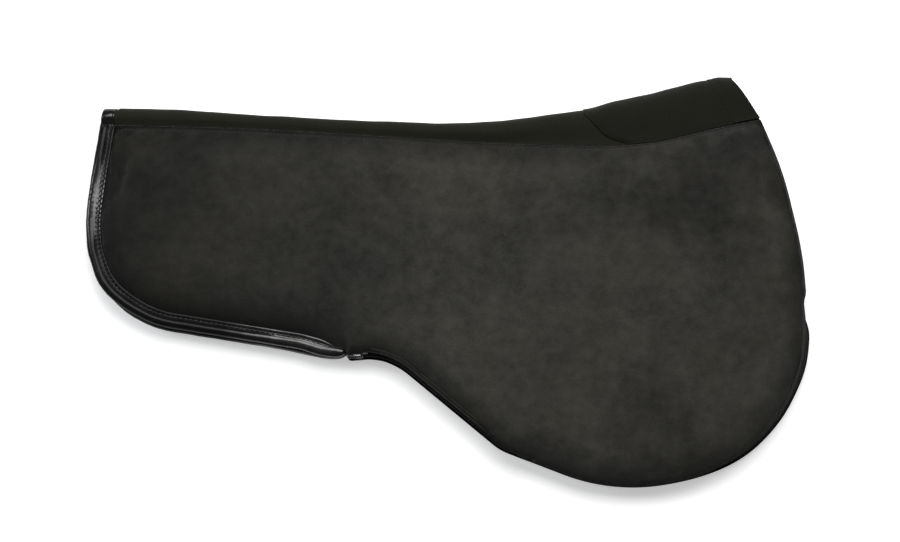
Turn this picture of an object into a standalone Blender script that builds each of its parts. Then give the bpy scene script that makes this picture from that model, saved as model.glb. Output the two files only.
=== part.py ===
"""A half pad for under a saddle, closed along its spine and lying on its left side.

The pad's front is at +X and its spine at +Y. The left half lies on the ground and the right half lies
on it, mirrored about the fold plane. Each half is a suede cover crowned over a foam insert, with a flat
mesh lining on the inner side, a leather binding round the rear, and a zip in the side wall that takes
the insert in and out. A mesh spine joins the halves. All lengths are in metres and all angles in radians.
"""

import math

import bmesh
import bpy
import numpy as np
from mathutils import Matrix, Vector

# Free edge of one half, from the hem's rear end: down the rear, along the belly, round the flap
REAR_LEAN = math.radians(7.9)
REAR_EDGE = 0.0734
REAR_CORNER_RADIUS = 0.0899
BELLY_SLOPE = math.radians(9.2)
BELLY_EDGE = 0.1317
BELLY_END_RADIUS = 0.040
ZIP_LEAD = 0.0202
WAIST_RADIUS = 0.062
WAIST_TURN = math.radians(39.6)
ZIP_RUN = 0.0917
ZIP_END_RADIUS = 0.042
FLAP_SLOPE = math.radians(21.0)
FLAP_EDGE = 0.0484
SOLE_RADIUS = 0.1588
SOLE_TURN = math.radians(49.0)
TOE_RADIUS = 0.1282
TOE_TURN = math.radians(66.3)
FRONT_EDGE = 0.0577
SHOULDER_RADIUS = 0.2904
SHOULDER_TURN = math.radians(17.5)
SHOULDER_EDGE = 0.0236

# How far the hem hangs below a straight line between its ends: share of its run, then depth
HEM_SAG = [
    (0.0, 0.0), (0.2, 0.0038), (0.39, 0.0102), (0.575, 0.0177), (0.697, 0.0205),
    (0.775, 0.0216), (0.855, 0.0176), (0.905, 0.0110), (0.955, 0.0048), (1.0, 0.0),
]
# Height of the spine band's middle layer above the hem: first in the rear binding, then share and height
BOUND_RISE = 0.0118
RIDGE_RISE = [
    (0.037, 0.0143), (0.08, 0.0143), (0.14, 0.0130), (0.2, 0.0117), (0.27, 0.0109), (0.35, 0.0109),
    (0.42, 0.0115), (0.483, 0.0128), (0.545, 0.0146), (0.6, 0.0177), (0.65, 0.0218), (0.7, 0.0264),
    (0.74, 0.0302), (0.78, 0.0342), (0.82, 0.0369), (0.87, 0.0374), (0.92, 0.0358), (0.97, 0.0336),
    (1.0, 0.0300),
]
FRONT_RAKE = 0.0215
RAKE_START = 0.78
REAR_LEAN_SHARE = 0.12

# Layers of one half, from the fold plane outwards
CLEARANCE = 0.0003
SEAM_GAP = 0.0009
SUEDE = 0.0012
LEATHER = 0.0010
MESH = 0.0030
PANEL_MESH = 0.0024
FRONT_HEM_MESH = 0.0018

# Cover
HEM_BAND = 0.0045
HEM_ROLL = 0.026
BINDING_ROLL_OFF = 0.026
ZIP_ROLL_OFF = 0.022
FLAP_ROLL_OFF = 0.030
SEAM_WALL = 0.0024
ZIP_WALL = 0.0018
CROWN = 0.0026
FOAM_EASE = 0.0006

# Leather binding: a roll along the very edge and a stitched flange on its inner side
ROLL_DIAMETER = 0.0085
BINDING_WIDTH = 0.0127
FLANGE_LIFT = 0.0071
EDGE_TUCK = 0.0036
BINDING_END = 0.0080
SPINE_BINDING_WIDTH = 0.0115

# Spine band
LEG_OVERLAP = 0.008
SPINE_ROLL = 0.0085
LAYER_GAP = 0.0005
FRONT_HEM_WIDTH = 0.021
PANEL_AT_RIDGE = 0.146
PANEL_AT_HEM = 0.1208
PANEL_CORNER = 0.014
PANEL_CORNER_RISE = 0.25
PANEL_REAR_RISE = 0.63

# Zip, set back in the side wall below the waist
ZIP_FADE = 0.0024
ZIP_TAIL = 0.0060
ZIP_SETBACK = 0.0030
ZIP_ABOVE_LINING = 0.0044
ZIP_SLIT = 0.0014
TOOTH_ROW = 0.0020
TOOTH_DEPTH = 0.0024
TAPE_THICKNESS = 0.0006
TAPE_BEHIND_COVER = 0.0015
STOP_LENGTH = 0.0027
STOP_DEPTH = 0.0029
SLIDER_LENGTH = 0.0120
SLIDER_WIDTH = 0.0066
SLIDER_PLATE = 0.0012
SLIDER_FIN = 0.0008
SLIDER_EASE = 0.0004
BAIL_SPAN = 0.0044
BAIL_LEG = 0.0008
BAIL_WIDTH = 0.0014
PULL_LENGTH = 0.0115
PULL_WIDTH = 0.0052
PULL_THICKNESS = 0.0010
PULL_WINDOW_WIDTH = 0.0024
PULL_WINDOW_LENGTH = 0.0036
PULL_STANDOFF = 0.0015

# Fold line, level with the fold plane: its height on Y at the pad's rear and front ends
FOLD_ABOVE_REAR_HEM = 0.007
FOLD_ABOVE_FRONT_HEM = 0.019

# Fineness of the meshes
STRAIGHT_STEP = 0.025
ARC_STEP = math.radians(7.5)
ZIP_ARC_STEP = math.radians(5.0)
NEAREST_PLACES = 0.0008
HEM_POINTS = 18
HEM_EASE = 2.5
ROLL_OFF_SHARES = (0.0, 0.07, 0.26, 0.58, 1.0)
SPINE_ROWS = 28
SPINE_ROWS_CROWDING = 1.35
PANEL_ROWS = 14
FRONT_HEM_ROWS = 4

COLLECTION = "half_pad"
RIGHT, LEFT = 1.0, -1.0


class EdgePath:
    """Straights and arcs that meet in line. A place on it is its distance from the start."""

    def __init__(self, start, heading):
        self.pieces = []
        self.length = 0.0
        self.end = np.array(start, float)
        self.heading = heading

    def add(self, length, turn=0.0):
        self.pieces.append((self.length, length, self.end, self.heading, turn / length))
        self.length += length
        self.end = self.point(self.length)
        self.heading += turn
        return self.length

    def arc(self, radius, turn):
        return self.add(radius * abs(turn), turn)

    def piece(self, place):
        found = self.pieces[0]
        for piece in self.pieces:
            if place >= piece[0]:
                found = piece
        return found

    def point(self, place):
        start, _, origin, heading, bend = self.piece(place)
        run = place - start
        if bend == 0.0:
            return origin + run * np.array([math.cos(heading), math.sin(heading)])
        turned = heading + bend * run
        step = [math.sin(turned) - math.sin(heading), math.cos(heading) - math.cos(turned)]
        return origin + np.array(step) / bend

    def direction(self, place):
        start, _, _, heading, bend = self.piece(place)
        angle = heading + bend * (place - start)
        return np.array([math.cos(angle), math.sin(angle)])

    def inward(self, place):
        """The side of the pad's own material, which is on the left of the way along the path."""
        along = self.direction(place)
        return np.array([-along[1], along[0]])

    def places(self, marks):
        """Places for sections, near enough to each other to follow the bends, with the marks among them."""
        found = [0.0]
        for start, length, _, _, bend in self.pieces:
            finer = ZIP_ARC_STEP if bend < 0.0 else ARC_STEP
            count = max(math.ceil(length / STRAIGHT_STEP), math.ceil(abs(bend) * length / finer))
            found += [start + length * (i + 1) / count for i in range(count)]
        found = [p for p in found if all(abs(p - mark) > 2 * NEAREST_PLACES for mark in marks)]
        return sorted(found + list(marks))


def curve_through(knots):
    """A smooth function through the knots, with each knot's slope taken from its neighbours."""
    at = np.array([k[0] for k in knots])
    value = np.array([k[1] for k in knots])
    slope = np.gradient(value, at)

    def height(x):
        x = min(max(x, at[0]), at[-1])
        i = min(int(np.searchsorted(at, x, side="right")) - 1, len(at) - 2)
        span = at[i + 1] - at[i]
        t = (x - at[i]) / span
        rise = value[i] * (1 + 2 * t) * (1 - t) ** 2 + value[i + 1] * t * t * (3 - 2 * t)
        return rise + span * (slope[i] * t * (1 - t) ** 2 - slope[i + 1] * t * t * (1 - t))

    return height


def smooth_step(t):
    t = min(max(t, 0.0), 1.0)
    return t * t * (3.0 - 2.0 * t)


# Plan of one half


def lay_free_edge(start):
    path = EdgePath(start, -math.pi / 2 - REAR_LEAN)
    path.add(REAR_EDGE)
    path.arc(REAR_CORNER_RADIUS, math.pi / 2 + REAR_LEAN - BELLY_SLOPE)
    path.add(BELLY_EDGE)
    lead = path.arc(BELLY_END_RADIUS, BELLY_SLOPE)
    waist = path.add(ZIP_LEAD)
    path.arc(WAIST_RADIUS, -WAIST_TURN)
    path.add(ZIP_RUN)
    zip_end = path.arc(ZIP_END_RADIUS, WAIST_TURN - FLAP_SLOPE)
    path.add(FLAP_EDGE)
    path.arc(SOLE_RADIUS, SOLE_TURN)
    path.arc(TOE_RADIUS, TOE_TURN)
    path.add(FRONT_EDGE)
    path.arc(SHOULDER_RADIUS, SHOULDER_TURN)
    path.add(SHOULDER_EDGE)
    return path, {"lead": lead, "waist": waist, "zip_end": zip_end}


def hem_curve(path):
    """The hem's height on Y at any X between the ends of the free edge."""
    sag = curve_through(HEM_SAG)
    rear, front = path.pieces[0][2], path.end

    def height(x):
        share = (x - rear[0]) / (front[0] - rear[0])
        return rear[1] + (front[1] - rear[1]) * share - sag(share)

    return height


def ridge_curve(run):
    """The band's rise above the hem at a share of the hem's run, level inside its rear binding."""
    bound = (SPINE_BINDING_WIDTH + SEAM_GAP) / run
    return curve_through([(bound, BOUND_RISE), *RIDGE_RISE])


def centred_plan():
    """The free edge, its marks, the hem and the ridge, with the middle of their box at the origin."""
    path, marks = lay_free_edge((0.0, 0.0))
    edge = np.array([path.point(p) for p in np.linspace(0.0, path.length, 400)])
    hem, run = hem_curve(path), path.end[0]
    ridge = ridge_curve(run)
    layers = FRONT_HEM_OUTSET + FRONT_HEM_MESH / 2
    front = np.linspace(run - FRONT_HEM_WIDTH, run, 40)
    highest = max(hem(x) + ridge(x / run) for x in front) + layers
    middle_x = (edge[:, 0].min() + edge[:, 0].max()) / 2
    middle_y = (edge[:, 1].min() + highest) / 2
    path, marks = lay_free_edge((-middle_x, -middle_y))
    return path, marks, hem_curve(path), ridge


PANEL_OUTSET = MESH / 2 + LAYER_GAP + PANEL_MESH / 2
FRONT_HEM_OUTSET = PANEL_OUTSET + PANEL_MESH / 2 + LAYER_GAP + FRONT_HEM_MESH / 2
PATH, MARKS, HEM, RIDGE = centred_plan()
REAR_HEM = PATH.pieces[0][2]
FRONT_HEM = PATH.end

# Places along the free edge
BINDING_STOP = MARKS["lead"] + BINDING_END
ZIP_START = BINDING_STOP + ZIP_FADE
ZIP_STOP = MARKS["zip_end"] + ZIP_TAIL
ZIP_FADE_OUT = ZIP_STOP + ZIP_FADE
PLACES = PATH.places([BINDING_STOP, ZIP_START, ZIP_STOP, ZIP_FADE_OUT])

# Heights above the fold plane
LINING_LOW = CLEARANCE + LEATHER + CLEARANCE
MESH_MIDDLE = LINING_LOW + MESH / 2
LINING_TOP = LINING_LOW + MESH
RIM_LOW = LINING_TOP + CLEARANCE
FLANGE_TOP = RIM_LOW + SUEDE
ZIP_CENTRE = LINING_TOP + ZIP_ABOVE_LINING
ZIP_WALL_RIM = ZIP_CENTRE + SLIDER_WIDTH / 2 + CLEARANCE
ZIP_WALL_TOP = ZIP_WALL_RIM + ZIP_WALL
HALF_THICKNESS = ZIP_WALL_TOP + CROWN
FOLD_PLANE = HALF_THICKNESS


def along_edge(place, bound, zipped, sewn):
    """A value that is set on the bound stretch, the zipped one and the plain sewn one, and runs between."""
    stops = [BINDING_STOP, ZIP_START, ZIP_STOP, ZIP_FADE_OUT]
    return float(np.interp(place, stops, [bound, zipped, zipped, sewn]))


def trimmed_places(inset_at, hem_inset):
    """PLACES moved along so that the inset edge starts and ends on the inset hem.

    Only the places near the hem move, up to HEM_EASE times as far from it as the hem's own shift.
    """

    def above_hem(place):
        point = PATH.point(place) + inset_at(place) * PATH.inward(place)
        return point[1] - (HEM(point[0]) - hem_inset)

    def crossing(inside, outside):
        for _ in range(40):
            middle = (inside + outside) / 2
            if above_hem(middle) > 0.0:
                outside = middle
            else:
                inside = middle
        return inside

    reach = REAR_EDGE + SHOULDER_EDGE
    first = crossing(reach, 0.0)
    last = PATH.length - crossing(PATH.length - reach, PATH.length)
    kept = (HEM_EASE - 1) / HEM_EASE
    moved = []
    for place in PLACES:
        left = PATH.length - place
        if place < HEM_EASE * first:
            place = first + place * kept
        if left < HEM_EASE * last:
            place = PATH.length - last - left * kept
        moved.append(place)
    return moved


def inset_ring(inset_at, height_at, hem_inset, hem_height):
    """One closed ring of (x, y, height) points at a distance inside the free edge and below the hem."""
    edge = []
    for place, moved in zip(PLACES, trimmed_places(inset_at, hem_inset)):
        x, y = PATH.point(moved) + inset_at(moved) * PATH.inward(moved)
        edge.append((x, y, height_at(place)))
    edge[0] = (*edge[0][:2], hem_height)
    edge[-1] = (*edge[-1][:2], hem_height)
    front, rear = edge[-1][0], edge[0][0]
    for i in range(1, HEM_POINTS):
        x = front + (rear - front) * i / HEM_POINTS
        edge.append((x, HEM(x) - hem_inset, hem_height))
    return edge


# Meshes


def new_object(name, mesh, material, collection, parent):
    mesh.materials.append(material)
    obj = bpy.data.objects.new(name, mesh)
    collection.objects.link(obj)
    obj.parent = parent
    obj.matrix_parent_inverse = parent.matrix_world.inverted()
    return obj


def closed_mesh(name, points, faces, side=RIGHT):
    """A mesh of (x, y, height over the fold plane) points; the left half's are turned over."""
    mesh = bpy.data.meshes.new(name)
    mesh.from_pydata([(x, y, side * height) for x, y, height in points], [], faces)
    build = bmesh.new()
    build.from_mesh(mesh)
    bmesh.ops.recalc_face_normals(build, faces=build.faces)
    build.to_mesh(mesh)
    build.free()
    mesh.shade_smooth()
    mesh.set_sharp_from_angle(angle=math.radians(40))
    return mesh


def strip_faces(first, second, count, closed=True):
    """Quads between two rows of points of the same count, which start at these numbers."""
    last = count if closed else count - 1
    return [
        (first + i, first + (i + 1) % count, second + (i + 1) % count, second + i)
        for i in range(last)
    ]


def lofted_solid(rings):
    """Points and faces of a solid through closed rings, with a flat face on the first and the last."""
    count = len(rings[0])
    points = [p for ring in rings for p in ring]
    faces = [tuple(range(count)), tuple(range(len(points) - count, len(points)))]
    for i in range(len(rings) - 1):
        faces += strip_faces(i * count, (i + 1) * count, count)
    return points, faces


def lofted_shell(outer, inner):
    """Points and faces of a tray: outer and inner rings from the rim to a flat top."""
    count = len(outer[0])
    points = [p for ring in outer + inner for p in ring]
    tops = [(len(outer) - 1) * count, (len(outer) + len(inner) - 1) * count]
    faces = [tuple(range(top, top + count)) for top in tops]
    for i in range(len(outer) - 1):
        faces += strip_faces(i * count, (i + 1) * count, count)
        inside = len(outer) * count
        faces += strip_faces(inside + i * count, inside + (i + 1) * count, count)
    faces += strip_faces(0, len(outer) * count, count)
    return points, faces


def swept_solid(profile, sections):
    """A closed profile of (across, height) points, carried along sections that place it and capped."""
    points = [place(across, height) for place in sections for across, height in profile]
    count = len(profile)
    faces = [tuple(range(count)), tuple(range(len(points) - count, len(points)))]
    for i in range(len(sections) - 1):
        faces += strip_faces(i * count, (i + 1) * count, count)
    return points, faces


def edge_section(place):
    """Puts a profile square across the free edge: across is the distance inside it."""
    at, inward = PATH.point(place), PATH.inward(place)

    def put(across, height):
        x, y = at + across * inward
        return (x, y, height)

    return put


def places_between(first, last):
    """PLACES from first to last, both included."""
    inside = [p for p in PLACES if first + NEAREST_PLACES < p < last - NEAREST_PLACES]
    return [first, *inside, last]


# Cover, insert and lining


def cover_rings(depth):
    """Rings of the cover's outer surface, or of one this far inside it, from the rim to the flat top.

    Past its shoulder the surface climbs to the top in a quarter ellipse. The inner one is the same
    ellipse moved inwards and down.
    """

    def depth_on(place, bound, other):
        return along_edge(place, bound * depth, other * depth, other * depth)

    def rim_inset(place):
        return along_edge(place, EDGE_TUCK, 0.0, 0.0) + depth_on(place, 0.0, 1.0)

    def rim_height(place):
        return along_edge(place, FLANGE_TOP, ZIP_WALL_RIM, RIM_LOW) - depth_on(place, 1.0, 0.0)

    def shoulder(place):
        return along_edge(place, BINDING_WIDTH + CLEARANCE, 0.0, 0.0) + depth

    def wall_top(place):
        return along_edge(place, FLANGE_TOP, ZIP_WALL_TOP, RIM_LOW + SEAM_WALL)

    def roll_off(place):
        return along_edge(place, BINDING_ROLL_OFF, ZIP_ROLL_OFF, FLAP_ROLL_OFF) - depth

    rings = [inset_ring(rim_inset, rim_height, 0.0, FLANGE_TOP - depth)]
    for share in ROLL_OFF_SHARES:
        climb = math.sqrt(1.0 - (1.0 - share) ** 2)
        rings.append(
            inset_ring(
                lambda place: shoulder(place) + roll_off(place) * share,
                lambda place: wall_top(place) * (1 - climb) + HALF_THICKNESS * climb - depth,
                HEM_BAND + depth + (HEM_ROLL - depth) * share,
                FLANGE_TOP * (1 - climb) + HALF_THICKNESS * climb - depth,
            )
        )
    return rings


def outer_cover():
    return lofted_shell(cover_rings(0.0), cover_rings(SUEDE))


def foam_insert():
    """Follows the cover's inside, flat underneath, and stands back where the zip's slider runs."""
    zip_back = ZIP_SETBACK + TOOTH_DEPTH / 2 + SLIDER_EASE + SLIDER_PLATE + CLEARANCE * 3
    depth = SUEDE + FOAM_EASE
    base = LINING_TOP + CLEARANCE
    rings = []
    for ring in cover_rings(depth)[1:]:
        rings.append([])
        for i, (x, y, height) in enumerate(ring):
            point = np.array([x, y])
            if i < len(PLACES):
                back = along_edge(PLACES[i], 0.0, zip_back, 0.0)
                inward = PATH.inward(PLACES[i])
                inside = float((point - PATH.point(PLACES[i])) @ inward)
                point = point + max(0.0, back - inside) * inward
            rings[-1].append((point[0], point[1], max(height, base + CLEARANCE)))
    floor = [(x, y, base) for x, y, _ in rings[0]]
    return lofted_solid([floor, *rings])


def lining():
    def inset_at(place):
        return along_edge(place, EDGE_TUCK, CLEARANCE, CLEARANCE)

    rings = [
        inset_ring(inset_at, lambda place: height, LEG_OVERLAP + SEAM_GAP, height)
        for height in (LINING_LOW, LINING_TOP)
    ]
    return lofted_solid(rings)


# Leather binding


def arc_points(centre, radius, first, last, count):
    angles = np.linspace(first, last, count)
    return [(centre[0] + radius * math.cos(a), centre[1] + radius * math.sin(a)) for a in angles]


def binding_profile():
    """Section of the leather: a roll on the edge, a flat leg below and a stitched flange above."""
    radius = ROLL_DIAMETER / 2
    centre = (radius, CLEARANCE + radius)
    up = FLANGE_LIFT + CLEARANCE - centre[1]
    outer_end = math.pi - math.asin(up / radius)
    inner_end = math.pi - math.asin((up - LEATHER) / (radius - LEATHER))
    low, high = CLEARANCE, CLEARANCE + FLANGE_LIFT
    turned = [
        arc_points(centre, radius, -math.pi / 2, outer_end, 9),
        arc_points(centre, radius - LEATHER, inner_end, -math.pi / 2, 7),
    ]
    outer, inner = ([(2 * centre[0] - x, z) for x, z in arc] for arc in turned)
    return [
        (BINDING_WIDTH, low),
        *outer,
        (BINDING_WIDTH, high),
        (BINDING_WIDTH, high - LEATHER),
        *inner,
        (BINDING_WIDTH, low + LEATHER),
    ]


def rear_binding():
    places = places_between(CLEARANCE, BINDING_STOP - CLEARANCE)
    return swept_solid(binding_profile(), [edge_section(p) for p in places])


# Spine band and what is sewn on it


def share_of(distance):
    return distance / (FRONT_HEM[0] - REAR_HEM[0])


def hem_point(share):
    x = REAR_HEM[0] + (FRONT_HEM[0] - REAR_HEM[0]) * share
    return np.array([x, HEM(x)])


def band_rib(share, lowest, outset):
    """Half a cross section of the band as (rise, height) points, from its leg to its ridge.

    The leg is straight up to the hem, spreads above it and closes in a quarter circle. outset moves
    the line outwards along its own normal, for a layer that lies over the band.
    """
    rise = RIDGE(share)
    radius = min(SPINE_ROLL, rise / 2)
    shoulder = rise - radius
    line = [(lowest, MESH_MIDDLE)]
    spread_from = max(lowest, 0.0)
    if lowest < 0.0:
        line.append((0.0, MESH_MIDDLE))
    for part in (0.25, 0.5, 0.75, 1.0):
        at = spread_from + (shoulder - spread_from) * part
        line.append((at, MESH_MIDDLE + (radius - MESH_MIDDLE) * smooth_step(at / shoulder)))
    line += [
        (shoulder + radius * math.sin(a), radius * math.cos(a))
        for a in np.linspace(0.0, math.pi / 2, 6)[1:]
    ]
    along = np.gradient(np.array(line), axis=0)
    along[-1] = (0.0, -1.0)
    along[0] = (1.0, 0.0)
    along /= np.linalg.norm(along, axis=1)[:, None]
    return [(r - outset * d[1], h + outset * d[0]) for (r, h), d in zip(line, along)]


def band_point(share, rise, height):
    """Places a rib's point. The front ribs lean back like the raked front edge, the rear ones forward."""
    foot = hem_point(share)
    reach = RIDGE(share) + MESH
    rake = FRONT_RAKE * smooth_step((share - RAKE_START) / (1.0 - RAKE_START))
    back = rake * min(max(rise, 0.0) / reach, 1.0)
    forward = math.tan(REAR_LEAN) * rise * (1.0 - smooth_step(share / REAR_LEAN_SHARE))
    return (foot[0] - back + forward, foot[1] + rise, height)


def band_sheet(shares_at, lowest, outset):
    """A sheet over both sides of the spine. shares_at gives the place of each row on the way up a rib."""
    rows = len(shares_at(0.0))
    sheet = []
    for row in range(rows):
        rib_length = len(band_rib(0.5, lowest, outset))
        rib = []
        for i in range(rib_length):
            share = shares_at(i / (rib_length - 1))[row]
            rise, height = band_rib(share, lowest, outset)[i]
            rib.append(band_point(share, rise, height))
        other = [(x, y, -height) for x, y, height in rib[-2::-1]]
        sheet += rib + other
    across = len(sheet) // rows
    faces = []
    for row in range(rows - 1):
        faces += strip_faces(row * across, (row + 1) * across, across, closed=False)
    return sheet, faces


def sheet_object(name, sheet, thickness, material, collection, parent):
    points, faces = sheet
    mesh = bpy.data.meshes.new(name)
    mesh.from_pydata(points, [], faces)
    mesh.shade_smooth()
    obj = new_object(name, mesh, material, collection, parent)
    obj.location = (0.0, 0.0, FOLD_PLANE)
    wall = obj.modifiers.new("wall", "SOLIDIFY")
    wall.thickness = thickness
    wall.offset = 0.0
    wall.use_even_offset = True
    return obj


def front_rows(rear, front, count, crowding=1.0):
    """Shares from rear to front, with the rows closer together towards the front."""
    return [front - (front - rear) * (1.0 - i / count) ** crowding for i in range(count + 1)]


def spine_rows(_):
    bound = share_of(SPINE_BINDING_WIDTH + SEAM_GAP)
    front = 1.0 - share_of(CLEARANCE * 4)
    return [share_of(EDGE_TUCK), *front_rows(bound, front, SPINE_ROWS, SPINE_ROWS_CROWDING)]


def panel_rows(up):
    """The withers panel's rear edge slopes forwards from the ridge and turns in a round lower corner."""
    sloped = min(1.0, up / PANEL_REAR_RISE)
    length = PANEL_AT_HEM + (PANEL_AT_RIDGE - PANEL_AT_HEM) * sloped
    length -= PANEL_CORNER * (1.0 - min(1.0, up / PANEL_CORNER_RISE)) ** 2
    front = 1.0 - share_of(CLEARANCE * 4)
    return front_rows(front - share_of(length), front, PANEL_ROWS)


def front_hem_rows(_):
    front = 1.0 - share_of(CLEARANCE * 2)
    return front_rows(front - share_of(FRONT_HEM_WIDTH), front, FRONT_HEM_ROWS)


def spine_binding_sections():
    """Sections over the rear end of the spine band, from the right hem to the left."""
    share = share_of(EDGE_TUCK)
    rib = band_rib(share, -LEG_OVERLAP, 0.0)[1:]
    line = np.array(rib + [(rise, -height) for rise, height in rib[-2::-1]])
    along = np.gradient(line, axis=0)
    along[0] = (1.0, 0.0)
    along[-1] = (-1.0, 0.0)
    along /= np.linalg.norm(along, axis=1)[:, None]
    lean = PATH.direction(0.0)
    lean = -lean / lean[1]
    foot = PATH.point(0.0)

    def section(at, way):
        def put(across, height):
            rise = at[0] - height * way[1]
            out = at[1] + height * way[0]
            return (foot[0] - lean[0] * rise + across, foot[1] + rise, out)

        return put

    return [section(at, way) for at, way in zip(line, along)]


def spine_binding_profile():
    """A flat U over the band's rear edge: across from the edge, height from the band's middle layer."""
    out = MESH / 2 + CLEARANCE + LEATHER
    inside = out - LEATHER
    outer = [(out - x, z) for x, z in arc_points((0.0, 0.0), out, -math.pi / 2, math.pi / 2, 7)]
    inner = [(out - x, z) for x, z in arc_points((0.0, 0.0), inside, math.pi / 2, -math.pi / 2, 5)]
    return [
        (SPINE_BINDING_WIDTH, -out),
        *outer,
        (SPINE_BINDING_WIDTH, out),
        (SPINE_BINDING_WIDTH, inside),
        *inner,
        (SPINE_BINDING_WIDTH, -inside),
    ]


# Zip

ROW_MIDDLE = (ZIP_SLIT + TOOTH_ROW) / 2
ROW_START = ZIP_START + STOP_LENGTH + CLEARANCE
ROW_STOP = ZIP_STOP - STOP_LENGTH - CLEARANCE


def box_profile(across, height, wide, high):
    return [
        (across + wide / 2 * a, height + high / 2 * b)
        for a, b in ((-1, -1), (1, -1), (1, 1), (-1, 1))
    ]


def swept_box(first, last, across, height, wide, high):
    places = places_between(first, last)
    return swept_solid(box_profile(across, height, wide, high), [edge_section(p) for p in places])


def zip_tape(low, high):
    start, stop = ZIP_START + CLEARANCE, ZIP_STOP - CLEARANCE
    return swept_box(start, stop, ZIP_SETBACK, (low + high) / 2, TAPE_THICKNESS, high - low)


def zip_tape_outer():
    low = ZIP_CENTRE + ZIP_SLIT / 2 + TOOTH_ROW + CLEARANCE
    return zip_tape(low, ZIP_WALL_RIM + TAPE_BEHIND_COVER)


def zip_tape_inner():
    high = ZIP_CENTRE - ZIP_SLIT / 2 - TOOTH_ROW - CLEARANCE
    return zip_tape(RIM_LOW, high)


def tooth_row(outwards):
    height = ZIP_CENTRE + outwards * ROW_MIDDLE
    return swept_box(ROW_START, ROW_STOP, ZIP_SETBACK, height, TOOTH_DEPTH, TOOTH_ROW)


def zip_teeth_outer():
    return tooth_row(1)


def zip_teeth_inner():
    return tooth_row(-1)


def zip_top_stop(outwards):
    """The clamp at the end of one row of teeth, where the closed slider rests."""
    height = ZIP_CENTRE + outwards * ROW_MIDDLE
    start = ZIP_START + CLEARANCE
    return swept_box(start, start + STOP_LENGTH, ZIP_SETBACK, height, STOP_DEPTH, TOOTH_ROW)


def zip_top_stop_outer():
    return zip_top_stop(1)


def zip_top_stop_inner():
    return zip_top_stop(-1)


def zip_bottom_stop():
    wide = ZIP_SLIT + 2 * TOOTH_ROW
    last = ZIP_STOP - CLEARANCE
    return swept_box(last - STOP_LENGTH, last, ZIP_SETBACK, ZIP_CENTRE, STOP_DEPTH, wide)


SLIDER_PLACE = ROW_START + SLIDER_LENGTH / 2 + CLEARANCE
PLATE_INNER = TOOTH_DEPTH / 2 + SLIDER_EASE
PLATE_OUTER = PLATE_INNER + SLIDER_PLATE
PULL_AXIS = PLATE_OUTER + PULL_STANDOFF
BAIL_INSIDE = PULL_THICKNESS / 2 + SLIDER_EASE


def waist_centre():
    return PATH.point(MARKS["waist"]) - WAIST_RADIUS * PATH.inward(MARKS["waist"])


def slider_frame(side):
    """Axes of the slider at rest: along the zip, out of the pad and outwards from the fold plane."""
    along = PATH.direction(SLIDER_PLACE)
    out = -PATH.inward(SLIDER_PLACE)
    at = PATH.point(SLIDER_PLACE) - ZIP_SETBACK * out
    frame = Matrix((
        (along[0], out[0], 0.0, at[0]),
        (along[1], out[1], 0.0, at[1]),
        (0.0, 0.0, side, FOLD_PLANE + side * ZIP_CENTRE),
        (0.0, 0.0, 0.0, 1.0),
    ))
    return frame


def extruded(outline, low, high, axes):
    """A prism: the outline's two numbers and the depth go to the three axes in the order given."""
    points = []
    for depth in (low, high):
        for first, second in outline:
            place = [0.0, 0.0, 0.0]
            place[axes[0]], place[axes[1]], place[axes[2]] = first, second, depth
            points.append(tuple(place))
    count = len(outline)
    faces = [tuple(range(count)), tuple(range(count, 2 * count)), *strip_faces(0, count, count)]
    return points, faces


def placed_mesh(name, solid, frame, origin):
    """The solid's mesh, put in place by the frame and measured from the origin."""
    points, faces = solid
    mesh = bpy.data.meshes.new(name)
    mesh.from_pydata([frame @ Vector(p) - Vector(origin) for p in points], [], faces)
    build = bmesh.new()
    build.from_mesh(mesh)
    bmesh.ops.recalc_face_normals(build, faces=build.faces)
    build.to_mesh(mesh)
    build.free()
    return mesh


def slider_body():
    """Two plates on a thin fin that runs between the rows of teeth: a section of (out, across) points."""
    fin, half = SLIDER_FIN / 2, SLIDER_WIDTH / 2
    quarter = [(PLATE_OUTER, half), (PLATE_INNER, half), (PLATE_INNER, fin)]
    section = quarter + [(-out, across) for out, across in quarter[::-1]]
    section += [(-out, -across) for out, across in quarter]
    section += [(out, -across) for out, across in quarter[::-1]]
    return extruded(section, -SLIDER_LENGTH / 2, SLIDER_LENGTH / 2, (1, 2, 0))


def slider_bail():
    """The arch that the pull hangs on: a section of (along, out) points, set into the outer plate."""
    half, foot = BAIL_SPAN / 2, PLATE_OUTER - SLIDER_PLATE / 2
    top = PULL_AXIS + BAIL_INSIDE
    inner = half - BAIL_LEG
    section = [
        (-half, foot), (-half, top), (-inner, top + BAIL_LEG), (inner, top + BAIL_LEG), (half, top),
        (half, foot), (inner, foot), (inner, top), (-inner, top), (-inner, foot),
    ]
    return extruded(section, -BAIL_WIDTH / 2, BAIL_WIDTH / 2, (0, 1, 2))


def pull_plate():
    """Outline of the pull from its pivot towards the zip's closed end, as (along, across) points."""
    half, nose = PULL_WIDTH / 2, PULL_WIDTH / 4
    front = PULL_THICKNESS / 2
    outline = [
        (front, -half), (front, half), (nose - PULL_LENGTH, half), (-PULL_LENGTH, nose),
        (-PULL_LENGTH, -nose), (nose - PULL_LENGTH, -half),
    ]
    return extruded(outline, PULL_AXIS - front, PULL_AXIS + front, (0, 2, 1))


def pull_window():
    front = -PULL_THICKNESS / 2
    half = PULL_WINDOW_WIDTH / 2
    outline = [
        (front, -half), (front, half),
        (front - PULL_WINDOW_LENGTH, half), (front - PULL_WINDOW_LENGTH, -half),
    ]
    reach = PULL_THICKNESS
    return extruded(outline, PULL_AXIS - reach, PULL_AXIS + reach, (0, 2, 1))


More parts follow.
